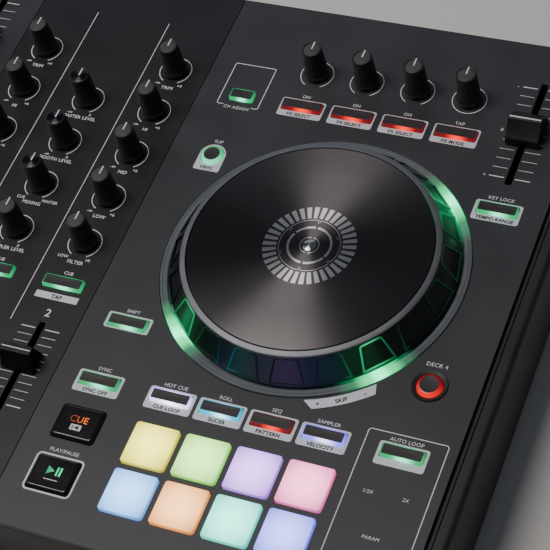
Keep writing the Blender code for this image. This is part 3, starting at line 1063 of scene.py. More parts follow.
@dataclass
class Knob:
    """A tall tapered knob with shallow flutes, a collar and a white pointer to the rear.

    Attributes:
        name: The knob's name, which is also its body's, or ROOT's for a fixed one.
        body: The body that it rides on.
        x: World x of its axis.
        y: World y of its axis.
        panel: World height of the panel.
        top: The finish of its top.
    """

    name: str
    body: str
    x: float
    y: float
    panel: float
    top: KnobTop

    HEIGHT = 20.0 * MM
    FLUTES = 24

    def build(self) -> Piece:
        """Makes the body, the top and the pointer, and returns the body.

        Returns:
            The body.
        """
        master = bpy.data.objects.get("knob_master") or self.master_body()
        body = copied(master, f"{self.name}_body", self.x, self.y, self.panel)
        body.hide_render = False
        show(body, KNOB_SIDE, self.body)
        high = self.HEIGHT
        crown = [(0.0, high - 0.15 * MM), (3.9 * MM, high - 0.12 * MM), (4.35 * MM, high - 0.3 * MM),
                 (4.45 * MM, high - 0.8 * MM), (0.0, high - 0.8 * MM)]
        cap = moved(turned(f"{self.name}_top", crown, 48), self.x, self.y, self.panel)
        finish: Finish = KNOB_TOP
        if self.top is KnobTop.SPUN:
            finish = RoundPattern(f"spun_{self.name}", "343438", "48484c", (0.28, 0.34), 0.25, 0.1, 5.0,
                                  1.0, centre=(self.x, self.y), spun=True)
        show(cap, finish, self.body)
        pointer = cuboid(f"{self.name}_pointer", (0.8 * MM, 5.0 * MM, 0.22 * MM),
                         (0.0, 2.6 * MM, high - 0.11 * MM))
        with editing(pointer, faces=lambda polygon: polygon.normal.y > 0.9):
            down = (0.0, 0.28 * MM, -1.5 * MM)
            bpy.ops.mesh.extrude_region_move(TRANSFORM_OT_translate={"value": down})
        soften(pointer, 0.05 * MM, 2)
        show(moved(pointer, self.x, self.y, self.panel), POINTER, self.body)
        return body

    def master_body(self) -> Piece:
        """The knob's body at the origin, which every knob copies.

        Returns:
            The body.
        """
        high = self.HEIGHT
        profile = [
            (0.0, high - 0.5 * MM), (4.5 * MM, high - 0.5 * MM), (4.55 * MM, high - 0.1 * MM),
            (4.75 * MM, high), (5.1 * MM, high - 0.15 * MM), (5.35 * MM, high - 0.7 * MM),
            (5.45 * MM, high - 1.6 * MM), (5.75 * MM, 13.0 * MM), (6.05 * MM, 8.0 * MM),
            (6.3 * MM, 4.2 * MM), (6.45 * MM, 3.4 * MM), (6.85 * MM, 3.0 * MM), (6.9 * MM, 2.6 * MM),
            (6.9 * MM, 1.2 * MM), (6.7 * MM, 0.8 * MM), (2.9 * MM, 0.8 * MM), (2.9 * MM, -8.5 * MM),
            (0.0, -8.5 * MM),
        ]
        body = turned("knob_master", profile, self.FLUTES * 4)
        step = 2 * math.pi / (self.FLUTES * 4)

        def in_flute(place: Vector) -> bool:
            index = round(math.atan2(place.y, place.x) / step) % 4
            side = math.hypot(place.x, place.y) > 5.4 * MM
            return side and index == 0 and 4.0 * MM < place.z < high - 1.5 * MM

        with editing(body, points=in_flute):
            bpy.ops.transform.resize(value=(0.955, 0.955, 1.0), center_override=(0.0, 0.0, 0.0))
        body.hide_render = True
        return body


@dataclass
class FaderCap:
    """A fader cap: hollowed slopes up to a ridge with a white line, on a blade.

    Attributes:
        name: The cap's name, which is also its body's.
        x: World x of its middle.
        y: World y of its middle.
        panel: World height of the panel.
        width: Its size across the travel.
        length: Its size along the travel.
        turn: 90 where it travels along X.
        taper: Width of the ridge's ends against the foot's.
        ridge: Half the length of the flat on the ridge.
        lip: Height of the foot's upright edge.
        hollow: How far the slopes sag, with 1 for a flat slope.
    """

    name: str
    x: float
    y: float
    panel: float
    width: float
    length: float
    turn: float = 0.0
    taper: float = 1.0
    ridge: float = 1.3 * MM
    lip: float = 4.4 * MM
    hollow: float = 1.12

    TOP = 12.0 * MM

    def section(self) -> list[Point]:
        """The cap's outline seen from its side, from the front foot over the ridge to the rear.

        Returns:
            The outline.
        """
        half, ridge = self.length / 2, self.ridge
        lip, low = self.lip, 1.0 * MM
        slope = []
        for step in range(9):
            share = step / 8
            along = half - 0.25 * MM - (half - 0.25 * MM - ridge) * share
            slope.append((-along, lip + 0.5 * MM + (self.TOP - lip - 0.5 * MM) * share**self.hollow))
        front = [(-half, low), (-half, lip), *slope]
        return front + [(-x, z) for x, z in reversed(front)]

    def build(self) -> Piece:
        """Makes the cap, its white line and its blade, and returns the cap.

        Returns:
            The cap.
        """
        cap = chain(f"{self.name}_grip", self.section())
        with editing(cap, points=lambda place: True):
            bpy.ops.mesh.edge_face_add()
            bpy.ops.mesh.extrude_region_move(
                TRANSFORM_OT_translate={"value": (0.0, self.width, 0.0)})
            bpy.ops.mesh.select_all(action="SELECT")
            bpy.ops.mesh.normals_make_consistent(inside=False)
        cap.data.transform(Matrix.Translation((0.0, -self.width / 2, 0.0)))
        for level in sorted({round(z, 7) for _, z in self.section()}):
            share = 1.0 - (1.0 - self.taper) * level / self.TOP
            with editing(cap, points=lambda place, level=level: abs(place.z - level) < 2e-6):
                bpy.ops.transform.resize(value=(1.0, share, 1.0), center_override=(0.0, 0.0, 0.0))
        soften(cap, 0.2 * MM, 2, 40.0)
        stripe = 0.95 * MM if self.taper == 1.0 else 0.6 * MM
        line = cuboid(f"{self.name}_line", (stripe, self.width * self.taper - 0.9 * MM, 0.12 * MM),
                      (0.0, 0.0, self.TOP))
        soften(line, 0.04 * MM, 2)
        blade = cuboid(f"{self.name}_blade", (5.0 * MM, 2.0 * MM, 12.0 * MM), (0.0, 0.0, -4.9 * MM))
        soften(blade, 0.2 * MM, 2)
        for piece, finish in ((cap, CAP_ABS), (line, POINTER), (blade, SCREW_STEEL)):
            piece.rotation_euler.z = math.radians(90.0 + self.turn)
            show(moved(piece, self.x, self.y, self.panel), finish, self.name)
        return cap


# ---------------------------------------------------------------- platter and its ring


@dataclass
class Platter:
    """A platter: smoked skirt with moulded grips, bright rim, spun disc and its printed ring.

    Attributes:
        side: left or right.
        x: World x of its axis.
        y: World y of its axis.
        panel: World height of the panel.
    """

    side: str
    x: float
    y: float
    panel: float

    GRIPS = 20
    FIRST_GRIP = 10.4
    BARS = 36
    DISC_RADIUS = 61.3 * MM
    DISC_TOP = 15.2 * MM
    SKIRT_FOOT = (72.6 * MM, 2.0 * MM)
    SKIRT_HEAD = (64.5 * MM, 13.6 * MM)
    # Painted light on the smoked skirt, as emission round the axis: a painted glow where the ring's
    # lamps shine through it, and a painted bluish-purple reflection of the pads between them; share of a
    # turn from -X, and its colour.
    PAINTED_GLOW_AND_REFLECTION = ((0.0, "010202"), (0.10, "020604"), (0.118, "083c26"), (0.132, "169058"),
            (0.146, "063c22"), (0.172, "04140e"), (0.20, "0c1822"), (0.222, "0c3a42"),
            (0.245, "26303e"), (0.28, "3a2c52"), (0.31, "142238"), (0.33, "082c34"),
            (0.352, "06341e"), (0.372, "063c20"), (0.39, "031008"), (0.42, "010202"),
            (0.545, "020804"), (0.567, "08321e"), (0.597, "147c4c"), (0.62, "1a8854"),
            (0.637, "0c4630"), (0.67, "010202"))
    # Painted glow on the pockets' raised edges, as emission round the axis: green next to the ring's
    # lamps, teal and blue on some walls, none elsewhere.
    PAINTED_EDGE_GLOW = ((0.0, "000000"), (0.10, "02100a"), (0.132, "20b470"), (0.165, "04301c"),
                 (0.188, "010403"), (0.207, "0a4856"), (0.228, "03141a"), (0.26, "020206"),
                 (0.30, "060c20"), (0.335, "02100c"), (0.352, "0a6038"), (0.374, "24d482"),
                 (0.396, "0a5830"), (0.42, "000000"), (0.56, "04301c"), (0.59, "108450"),
                 (0.62, "1ca466"), (0.65, "021008"))

    @property
    def body(self) -> str:
        """The body that turns."""
        return f"{self.side}_platter"

    def build(self) -> None:
        """Makes every piece of the platter."""
        skirt = self.skirt()
        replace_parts(skirt, f"{self.side}_platter")
        self.rim()
        disc = self.disc()
        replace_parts(disc, f"{self.side}_platter_disc")
        self.hub_print()

    def smoked(self, part: str, stops: tuple, strength: float) -> RoundPattern:
        """Smoked clear plastic with painted light in it: the ring's glow and coloured reflections, as
        emission.
        """
        return RoundPattern(f"smoked_{part}_{self.side}", "060709", "0a0b0e", (0.2, 0.28), 0.8,
                            0.03, 20.0, centre=(self.x, self.y), stops=stops, strength=strength)

    def skirt(self) -> Piece:
        """The skirt with its inner wall, web and bore.

        Returns:
            The skirt.
        """
        foot, head = self.SKIRT_FOOT, self.SKIRT_HEAD
        bore, web = 5.3 * MM, 12.5 * MM
        profile = [
            (bore, web), (61.8 * MM, web), (61.8 * MM, 13.7 * MM), (64.1 * MM, 13.9 * MM), head,
            (head[0] + 0.5 * MM, 13.0 * MM), (foot[0] - 0.6 * MM, foot[1] + 0.9 * MM), foot,
            (foot[0], 0.9 * MM), (71.0 * MM, 0.8 * MM), (62.0 * MM, 10.2 * MM), (9.0 * MM, 10.2 * MM),
            (9.0 * MM, -4.0 * MM), (bore, -4.0 * MM),
        ]
        piece = turned(f"{self.side}_platter_skirt", profile, 160, closed=True)
        cut(piece, self.round_skirt(self.pocket()))
        moved(smooth(piece, 25.0), self.x, self.y, self.panel)
        edges = joined(f"{self.side}_platter_pocket_edges", self.round_skirt(self.pocket_edge()))
        moved(edges, self.x, self.y, self.panel)
        # The pocket edges carry painted glow as emission.
        show(edges, self.smoked("edge", self.PAINTED_EDGE_GLOW, 1.1), self.body)
        # The skirt's emission is painted glow and painted reflection, not a lamp.
        return show(piece, self.smoked("skirt", self.PAINTED_GLOW_AND_REFLECTION, 0.55), self.body)

    def trapezoid(self, name: str, grow: float, low: float, high: float) -> Piece:
        """A block whose rear end is narrower, with round corners there; grow widens it.

        Args:
            name: The block's name.
            grow: How much longer and wider it is than a pocket.
            low: Height of its foot.
            high: Height of its top.

        Returns:
            The block.
        """
        length = (Vector(self.SKIRT_FOOT) - Vector(self.SKIRT_HEAD)).length
        piece = block(name, 16.0 * MM + grow, length - 2.8 * MM + grow, low, high)
        with editing(piece, faces=lambda polygon: polygon.normal.y > 0.9):
            bpy.ops.transform.resize(value=(0.66, 1.0, 1.0))

        def top_corner(a: Vector, b: Vector) -> bool:
            """Whether an edge is a corner at the narrow end."""
            return a.y > 0.0 and b.y > 0.0 and abs(a.z - b.z) > 1e-6

        with editing(piece, edges=top_corner):
            bpy.ops.mesh.bevel(offset=1.2 * MM, segments=3, affect="EDGES")
        return piece

    def pocket(self) -> Piece:
        """The cutter of one finger pocket."""
        return self.trapezoid("pocket", 0.0, -0.4 * MM, 3.0 * MM)

    def pocket_edge(self) -> Piece:
        """The raised edge round one finger pocket.

        Returns:
            The edge.
        """
        edge = self.trapezoid("pocket_edge", 1.7 * MM, -0.3 * MM, 0.3 * MM)
        with editing(edge, faces=lambda polygon: abs(polygon.normal.z) > 0.9):
            bpy.ops.mesh.inset(thickness=0.85 * MM)
            bpy.ops.mesh.delete(type="FACE")
            bpy.ops.mesh.select_mode(type="EDGE")
            bpy.ops.mesh.select_non_manifold()
            bpy.ops.mesh.bridge_edge_loops()
            bpy.ops.mesh.select_all(action="SELECT")
            bpy.ops.mesh.normals_make_consistent(inside=False)
        return soften(edge, 0.15 * MM, 2, 40.0)

    def round_skirt(self, master: Piece) -> list[Piece]:
        """Lays a piece on the skirt's slope and repeats it all the way round.

        Args:
            master: The piece to repeat, which is used up.

        Returns:
            The copies.
        """
        foot, head = Vector(self.SKIRT_FOOT), Vector(self.SKIRT_HEAD)
        run = (foot - head).normalized()
        middle = (foot + head) / 2
        tilt = math.atan2(-run.y, run.x)
        stand = Matrix.Translation((middle.x, 0.0, middle.y)) @ Matrix.Rotation(tilt, 4, "Y")
        master.data.transform(stand @ Matrix.Rotation(math.radians(90.0), 4, "Z"))
        pitch = 360.0 / self.GRIPS
        copies = [
            copied(master, master.name, 0.0, 0.0, 0.0,
                   math.radians(self.FIRST_GRIP + index * pitch))
            for index in range(self.GRIPS)
        ]
        discard(master)
        return copies

    def rim(self) -> Piece:
        """The bright ring round the disc.

        Returns:
            The ring.
        """
        profile = [
            (61.75 * MM, 13.8 * MM), (61.75 * MM, 14.95 * MM), (61.95 * MM, 15.1 * MM),
            (63.9 * MM, 14.75 * MM), (64.55 * MM, 14.45 * MM), (64.8 * MM, 13.95 * MM),
            (64.6 * MM, 13.72 * MM), (64.1 * MM, 13.95 * MM),
        ]
        piece = turned(f"{self.side}_platter_rim", profile, 160, closed=True)
        moved(piece, self.x, self.y, self.panel)
        return show(piece, RIM_METAL, self.body)

    def disc(self) -> Piece:
        """The spun disc, slightly dished towards its middle.

        Returns:
            The disc.
        """
        top = self.DISC_TOP
        profile = [
            (0.0, top - 0.25 * MM), (15.0 * MM, top - 0.25 * MM), (40.0 * MM, top - 0.12 * MM),
            (60.4 * MM, top - 0.02 * MM), (61.0 * MM, top - 0.12 * MM),
            (self.DISC_RADIUS, top - 0.5 * MM), (self.DISC_RADIUS, top - 2.3 * MM),
            (0.0, top - 2.3 * MM),
        ]
        piece = turned(f"{self.side}_platter_disc_top", profile, 160)
        moved(piece, self.x, self.y, self.panel)
        finish = RoundPattern(f"spun_aluminium_{self.side}", "504e50", "625e5f", (0.31, 0.41), 0.55,
                              0.3, 20.0, 1.0, centre=(self.x, self.y), spun=True)
        return show(piece, finish, self.body)

    def hub_print(self) -> Piece:
        """A ring of bars round broken circles, bared on the disc, and the spindle's cap.

        Returns:
            The spindle's cap.
        """
        surface = self.panel + self.DISC_TOP - 0.235 * MM
        ink = Print(f"{self.side}_platter_marks", (self.x, self.y), surface)
        pitch = 360.0 / self.BARS
        for index in range(self.BARS):
            middle = index * pitch
            ink.add(band((0.0, 0.0), 16.5, 23.4, middle - 3.1, middle + 3.1, 2))
        for sixth in range(30, 390, 60):
            ink.add(band((0.0, 0.0), 15.2, 15.55, sixth + 3, sixth + 57, 16))
            for side in (-2.2, 1.4):
                ink.add(band((0.0, 0.0), 13.6, 15.6, sixth + side, sixth + side + 0.9, 1))
        for start, end in ((90, 150), (150, 270), (270, 330), (330, 450)):
            ink.add(band((0.0, 0.0), 10.2, 11.4, start + 3, end - 3, 20))
        for start in (90, 270):
            ink.add(band((0.0, 0.0), 4.5, 5.0, start + 8, start + 172, 20))
        bare = RoundPattern(f"bare_metal_{self.side}", "e2e0de", "eae8e6", (0.28, 0.30), 0.4, 0.0,
                            10.0, 1.0, centre=(self.x, self.y), spun=True)
        show(ink.lay(), bare, self.body)
        dome = [(0.0, 0.75 * MM), (1.2 * MM, 0.7 * MM), (2.6 * MM, 0.45 * MM), (3.4 * MM, 0.1 * MM),
                (3.6 * MM, -0.3 * MM), (0.0, -0.3 * MM)]
        cap = moved(turned(f"{self.side}_spindle_cap", dome, 48), self.x, self.y, surface)
        finish = RoundPattern(f"spun_cap_{self.side}", "9a9a9c", "bcbcbe", (0.18, 0.26), 0.3, 0.2,
                              5.0, 1.0, centre=(self.x, self.y), spun=True)
        return show(cap, finish, self.body)


@dataclass
class GlowRing:
    """The frosted ring round the platter, lit green from lamps below it.

    Attributes:
        side: left or right.
        x: World x of the platter's axis.
        y: World y of the platter's axis.
        panel: World height of the panel.
    """

    side: str
    x: float
    y: float
    panel: float

    # Its light round the axis: share of a turn from -X, and its colour.
    LIGHT = ((0.0, "000000"), (0.085, "010a06"), (0.103, "044c28"), (0.119, "02b468"),
             (0.132, "3cffb4"), (0.145, "02b468"), (0.158, "043c20"), (0.175, "010402"),
             (0.20, "000000"), (0.325, "000000"), (0.345, "043c22"), (0.361, "02a45c"),
             (0.374, "2cffac"), (0.387, "02a45c"), (0.403, "043c22"), (0.42, "000000"),
             (0.56, "000000"), (0.59, "04482a"), (0.606, "02ac60"), (0.6225, "38ffb0"),
             (0.638, "029850"), (0.652, "063820"), (0.672, "010402"))

    def build(self) -> Piece:
        """Makes the ring with its engraved line.

        Returns:
            The ring.
        """
        profile = [
            (73.75 * MM, -1.4 * MM), (73.75 * MM, 0.1 * MM), (74.1 * MM, 0.5 * MM),
            (75.9 * MM, 0.6 * MM), (76.2 * MM, 0.35 * MM), (76.5 * MM, 0.6 * MM), (77.3 * MM, 0.6 * MM),
            (77.7 * MM, 0.25 * MM), (77.7 * MM, -4.0 * MM), (66.0 * MM, -4.0 * MM),
            (66.0 * MM, -1.5 * MM),
        ]
        piece = turned(f"{self.side}_frosted_ring", profile, 160, closed=True)
        moved(piece, self.x, self.y, self.panel)
        finish = RoundPattern(f"frosted_acrylic_{self.side}", "5c6266", "666c70", (0.3, 0.38), 0.9,
                              0.05, 20.0, centre=(self.x, self.y), stops=self.LIGHT, strength=3.8)
        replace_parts(piece, f"{self.side}_light_ring")
        return show(piece, finish, ROOT)


# ---------------------------------------------------------------- panels


@dataclass
class Hole:
    """A hole through a panel, in its plan millimetres.

    Attributes:
        x: Its middle across the panel.
        y: Its middle along the panel.
        width: Its width or diameter.
        depth: Its size along the panel, or 0 for a round hole.
        radius: The rounding of its corners.
    """

    x: float
    y: float
    width: float
    depth: float = 0.0
    radius: float = 1.0

    def cutter(self, origin: Point, panel: float) -> Piece:
        """The cutter that makes the hole.

        Args:
            origin: World x and y of the plan's zero.
            panel: World height of the panel.

        Returns:
            The cutter.
        """
        if self.depth:
            piece = block("hole", self.width * MM, self.depth * MM, -6.0 * MM, 6.0 * MM)
            round_corners(piece, self.radius * MM, 4)
        else:
            steps = 160 if self.width > 100 else 48
            piece = bar("hole", self.width / 2 * MM, -6.0 * MM, 6.0 * MM, steps)
        return moved(piece, origin[0] + self.x * MM, origin[1] + self.y * MM, panel)


def faceplate(node: str, name: str, holes: list[Hole], origin: Point, finish: Finish) -> Piece:
    """A panel of a node's size with clean holes and broken edges, which replaces the node.

    Args:
        node: The CAD node.
        name: The panel's name.
        holes: Its holes.
        origin: World x and y of the plan's zero.
        finish: Its finish.

    Returns:
        The panel.
    """
    low, high = (Vector(corner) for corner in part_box(node))
    plate = cuboid(name, tuple(high - low), (low + high) / 2)
    cut(plate, [hole.cutter(origin, high.z) for hole in holes])
    soften(plate, 0.22 * MM, 2, 50.0)
    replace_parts(plate, node)
    return show(plate, finish, ROOT)


@dataclass
class Deck:
    """One deck: its panel, prints, keys, pads, knobs, tempo fader, platter and ring.

    Attributes:
        side: left or right.
        number: The number printed by its deck-select key.
    """

    side: str
    number: str

    LINE = 0.45  # width of the printed frames' lines
    PAD_PITCH = 26.0
    WORD = 2.0  # height of the capitals by the keys
    KNOBS = 4  # how many FX knobs and FX keys there are

    def __post_init__(self) -> None:
        """Reads the deck's place from the frame."""
        low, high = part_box(f"{self.side}_deck_plate")
        right_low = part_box("right_deck_plate")[0]
        self.origin = (low[0] - 0.15 * MM, low[1] - PLAN_FRONT * MM)
        self.shift = low[0] - right_low[0]
        self.panel = high[2]
        self.live = self.side == "right"

    def spot(self, node: str) -> Point:
        """World x and y of the middle of this deck's copy of one of the right deck's nodes."""
        low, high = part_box(f"right_{node}")
        return ((low[0] + high[0]) / 2 + self.shift, (low[1] + high[1]) / 2)

    def plan_of(self, node: str) -> Point:
        """Plan x and y of a node, in millimetres."""
        x, y = self.spot(node)
        return ((x - self.origin[0]) / MM, (y - self.origin[1]) / MM)

    def body_for(self, node: str) -> str:
        """The body that this deck's copy of a node rides on."""
        return f"{self.side}_{node}" if self.live else ROOT

    def take_place(self, piece: Piece, node: str) -> None:
        """Puts a piece in place of the right deck's node; the left deck has no such node."""
        if self.live:
            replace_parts(piece, f"right_{node}")

    def key_sizes(self) -> dict[str, tuple[Point, Point, Glow]]:
        """Each rectangular key's base and cap, in millimetres, and its light.

        Returns:
            The sizes and the light by the node's name without its side.
        """
        long_key = ((20.6, 7.0), (19.2, 5.2))
        sizes = {
            "shift_key": (*long_key, Glow.GREEN),
            "sync_key": (*long_key, Glow.GREEN),
            "key_lock_key": (*long_key, Glow.GREEN),
            "auto_loop_key": (*long_key, Glow.GREEN),
            "channel_assign_key": ((13.3, 7.2), (12.0, 5.4), Glow.GREEN),
        }
        for index in range(self.KNOBS):
            sizes[f"fx_key_{index + 1}"] = ((22.1, 6.9), (21.0, 5.1), Glow.RED)
        mode_glow = (Glow.WHITE, Glow.CYAN, Glow.RED, Glow.LAVENDER)
        for index, glow in enumerate(mode_glow):
            sizes[f"pad_mode_key_{index + 1}"] = (*long_key, glow)
        return sizes

    def build(self) -> None:
        """Makes the whole deck."""
        self.faceplate()
        self.white_print()
        self.silver_print()
        self.dark_print()
        self.keys()
        self.pads()
        x, y = self.spot("platter")
        Platter(self.side, x, y, self.panel).build()
        GlowRing(self.side, x, y, self.panel).build()
        for index in range(self.KNOBS):
            node = f"fx_knob_{index + 1}"
            x, y = self.spot(node)
            knob = Knob(f"{self.side}_{node}", self.body_for(node), x, y, self.panel, KnobTop.RUBBER)
            self.take_place(knob.build(), node)
        cap = f"{self.side}_tempo_fader_cap"
        x, y = self.spot("tempo_fader_cap")
        fader = FaderCap(cap, x, y, self.panel, 17.3 * MM, 19.0 * MM)
        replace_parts(fader.build(), cap)

    def faceplate(self) -> None:
        """The panel with all its holes."""
        platter = self.plan_of("platter")
        holes = [Hole(*platter, 156.0)]
        for node, (base, _, _) in self.key_sizes().items():
            holes.append(Hole(*self.plan_of(node), base[0] + 0.6, base[1] + 0.6, 1.0))
        for node in ("cue_key", "play_key"):
            holes.append(Hole(*self.plan_of(node), 23.2, 19.0, 2.0))
        holes.append(Hole(*self.plan_of("slip_key"), 12.8))
        holes.append(Hole(*self.plan_of("deck_select_key"), 13.2))
        for x, y in self.pad_spots():
            holes.append(Hole(x, y, 23.1, 23.1, 1.7))
        x, y = self.plan_of("tempo_fader_cap")
        holes.append(Hole(x, y, 3.5, 68.0, 1.0))
        for index in range(self.KNOBS):
            holes.append(Hole(*self.plan_of(f"fx_knob_{index + 1}"), 6.6))
        faceplate(f"{self.side}_deck_plate", f"{self.side}_deck_faceplate", holes, self.origin,
                  DECK_ENAMEL)

    def pad_spots(self) -> list[Point]:
        """Plan middles of the eight pads, rear row first.

        Returns:
            The middles in plan millimetres.
        """
        x, y = self.plan_of("pads")
        return [(x + (column - 1.5) * self.PAD_PITCH, y + (0.5 - row) * self.PAD_PITCH)
                for row in range(2) for column in range(4)]

    def pads(self) -> None:
        """The eight lit pads, each with soft edges."""
        colours = [PadColour.YELLOW, PadColour.MINT, PadColour.LILAC, PadColour.ROSE,
                   PadColour.SKY, PadColour.PEACH, PadColour.AQUA, PadColour.BLUE]
        master = block("pad_master", 22.5 * MM, 22.5 * MM, -5.0 * MM, 1.6 * MM)
        with editing(master, faces=lambda polygon: True):
            bpy.ops.mesh.subdivide(number_cuts=9)
        with editing(master, points=lambda place: place.z > 1.5 * MM):
            bpy.ops.transform.resize(value=(0.965, 0.965, 1.0), center_override=(0.0, 0.0, 0.0))

        def corner(a: Vector, b: Vector) -> bool:
            """Whether an edge is one of the four corners."""
            nearest = min(abs(a.x), abs(a.y), abs(b.x), abs(b.y))
            return nearest > 10.5 * MM and abs(a.z - b.z) > 1e-6

        with editing(master, edges=corner):
            bpy.ops.mesh.bevel(offset=1.5 * MM, segments=5, affect="EDGES")
        soften(master, 0.5 * MM, 3, 40.0)
        half = 11.2 * MM
        weigh(master, lambda co: max(0.0, 1.0 - 0.42 * (co.x**2 + co.y**2) / half**2)
              * (1.0 if co.z > 1.2 * MM else 0.4))
        for index, ((x, y), colour) in enumerate(zip(self.pad_spots(), colours)):
            pad = copied(master, f"{self.side}_pad_{index + 1}", self.origin[0] + x * MM,
                         self.origin[1] + y * MM, self.panel)
            show(pad, colour.finish(), f"{self.side}_pads")
            if index == 0:
                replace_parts(pad, f"{self.side}_pads")
        discard(master)

    def keys(self) -> None:
        """Every key of the deck."""
        made: list[Piece] = []
        for node, (base, cap, glow) in self.key_sizes().items():
            x, y = self.spot(node)
            key = Key(f"{self.side}_{node}", self.body_for(node), x, y, self.panel,
                      (base[0] * MM, base[1] * MM), (cap[0] * MM, cap[1] * MM), glow)
            made.append(key.build())
            self.take_place(made[-1], node)
        rounds = {"slip_key": (6.1, 4.3, Glow.GREEN), "deck_select_key": (6.3, 4.6, Glow.RED)}
        for node, (base, cap, glow) in rounds.items():
            x, y = self.spot(node)
            key = RoundKey(f"{self.side}_{node}", self.body_for(node), x, y, self.panel,
                           (base * MM, 0.0), (cap * MM, 0.0), glow)
            self.take_place(key.build(), node)
        for node in ("cue_key", "play_key"):
            x, y = self.spot(node)
            key = TransportKey(f"{self.side}_{node}", self.body_for(node), x, y, self.panel,
                               (22.6 * MM, 18.4 * MM), (20.5 * MM, 16.4 * MM), Glow.GREEN)
            self.take_place(key.build(), node)
            self.transport_marks(node, x, y)
        if not self.live:
            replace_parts(made[0], "left_key_mat")
        self.select_bezel()

    def transport_marks(self, node: str, x: float, y: float) -> None:
        """The lit word and the silver sign on a transport key.

        Args:
            node: The key's node.
            x: World x of the key's middle.
            y: World y of the key's middle.
        """
        body = self.body_for(node)
        top = self.panel + 1.37 * MM
        word = Print(f"{self.side}_{node}_word", (x, y), top)
        sign = Print(f"{self.side}_{node}_sign", (x, y), top)
        if node == "cue_key":
            word.word("CUE", 0.0, 1.9, 3.6)
            glow = Lit("lit_amber_word", "7a3004", "8a3a06", (0.4, 0.5), 0.5, 0.05, 4.0,
                       light=("7c1c00", "ff7c00"), strength=1.7)
            sign.add(rounded(-2.9, -4.4, 2.9, -1.2, 0.4), oblong(-1.9, -3.7, -1.3, -1.9),
                     [(-0.9, -2.8), (1.5, -3.9), (1.5, -1.7)])
        else:
            word.add([(-3.4, -0.9), (-3.4, 3.7), (0.4, 1.4)])
            word.add(oblong(1.4, -0.9, 2.3, 3.7), oblong(3.1, -0.9, 4.0, 3.7))
            glow = Lit("lit_green_sign", "065c38", "0a6c44", (0.4, 0.5), 0.5, 0.05, 4.0,
                       light=("0a9a5c", "34e49c"), strength=1.9)
            sign.add(oblong(-3.4, -3.6, 4.0, -3.2))
        marks = word.lay()
        weigh(marks, lambda co: min(1.0, max(0.0, 0.5 + (co.x - x) / (9.0 * MM))))
        show(marks, glow, body)
        show(sign.lay(), SILVER_INK, body)

    def select_bezel(self) -> None:
        """The black collar round the deck-select key."""
        x, y = self.spot("deck_select_key")
        profile = [
            (6.65 * MM, 0.15 * MM), (7.2 * MM, 0.3 * MM), (7.9 * MM, 0.75 * MM), (8.4 * MM, 0.75 * MM),
            (8.75 * MM, 0.35 * MM), (8.8 * MM, 0.02 * MM), (6.65 * MM, 0.02 * MM),
        ]
        collar = turned(f"{self.side}_select_collar", profile, 64, closed=True)
        show(moved(collar, x, y, self.panel), KNOB_SIDE, ROOT)

    def white_print(self) -> None:
        """Words, scales and frames in white."""
        ink = Print(f"{self.side}_deck_white_print", self.origin, self.panel)
        above = {"shift_key": ("SHIFT", 6.9), "sync_key": ("SYNC", 6.9),
                 "pad_mode_key_1": ("HOT CUE", 6.9), "pad_mode_key_2": ("ROLL", 6.9),
                 "pad_mode_key_3": ("SEQ", 6.9), "pad_mode_key_4": ("SAMPLER", 6.9),
                 "fx_key_1": ("ON", 7.0), "fx_key_2": ("ON", 7.0), "fx_key_3": ("ON", 7.0),
                 "fx_key_4": ("TAP", 7.0), "slip_key": ("SLIP", 9.4),
                 "key_lock_key": ("KEY LOCK", 7.1), "play_key": ("PLAY/PAUSE", 12.9)}
        for node, (text, rise) in above.items():
            x, y = self.plan_of(node)
            ink.word(text, x, y + rise, self.WORD)
        x, y = self.plan_of("deck_select_key")
        ink.word(f"DECK {self.number}", x, y + 11.8, 1.1 * self.WORD)
        self.channel_frame(ink)
        self.loop_frame(ink)
        self.tempo_scale(ink)
        for index in range(self.KNOBS - 1):
            ink.add(band(self.plan_of(f"fx_knob_{index + 1}"), 8.8, 9.2, -62, 242, 40))
        endless = self.plan_of(f"fx_knob_{self.KNOBS}")
        ink.add(arc(endless, 9.2, 0, 360, 60)[:-1], arc(endless, 8.8, 0, 360, 60)[:-1])
        show(ink.lay(), WHITE_INK, ROOT)

    def channel_frame(self, ink: Print) -> None:
        """The frame and word round the channel-assign key.

        Args:
            ink: The print that it is added to.
        """
        x, y = self.plan_of("channel_assign_key")
        ink.add(open_frame(x - 12.4, y - 7.5, x + 11.6, y + 22.0, 1.2, self.LINE,
                           (x - 8.4, x + 7.6)))
        ink.word("CH ASSIGN", x - 0.4, y - 8.4, self.WORD)

    def loop_frame(self, ink: Print) -> None:
        """The frame and words round the auto-loop key.

        Args:
            ink: The print that it is added to.
        """
        x, y = self.plan_of("auto_loop_key")
        ink.add(*frame_lines(x - 19.4, y - 61.0, x + 19.6, y + 9.7, 1.6, self.LINE))
        ink.word("AUTO LOOP", x, y + 6.6, self.WORD)
        ink.word("1/2X", x - 9.0, y - 22.0, 1.8)
        ink.word("2X", x + 9.0, y - 22.0, 1.8)
        ink.word("PARAM", x, y - 44.0, 1.8)

    def tempo_scale(self, ink: Print) -> None:
        """The tempo fader's ticks and signs.

        Args:
            ink: The print that it is added to.
        """
        x, y = self.plan_of("tempo_fader_cap")
        ink.ticks(x, y, 6.0, ((-10.7, -3.0), (2.6, 10.5)))
        ink.word("0", x - 13.0, y, self.WORD)
        ink.word("+", x - 13.2, y - 30.0, self.WORD)
        ink.word("-", x - 13.2, y + 30.0, self.WORD)

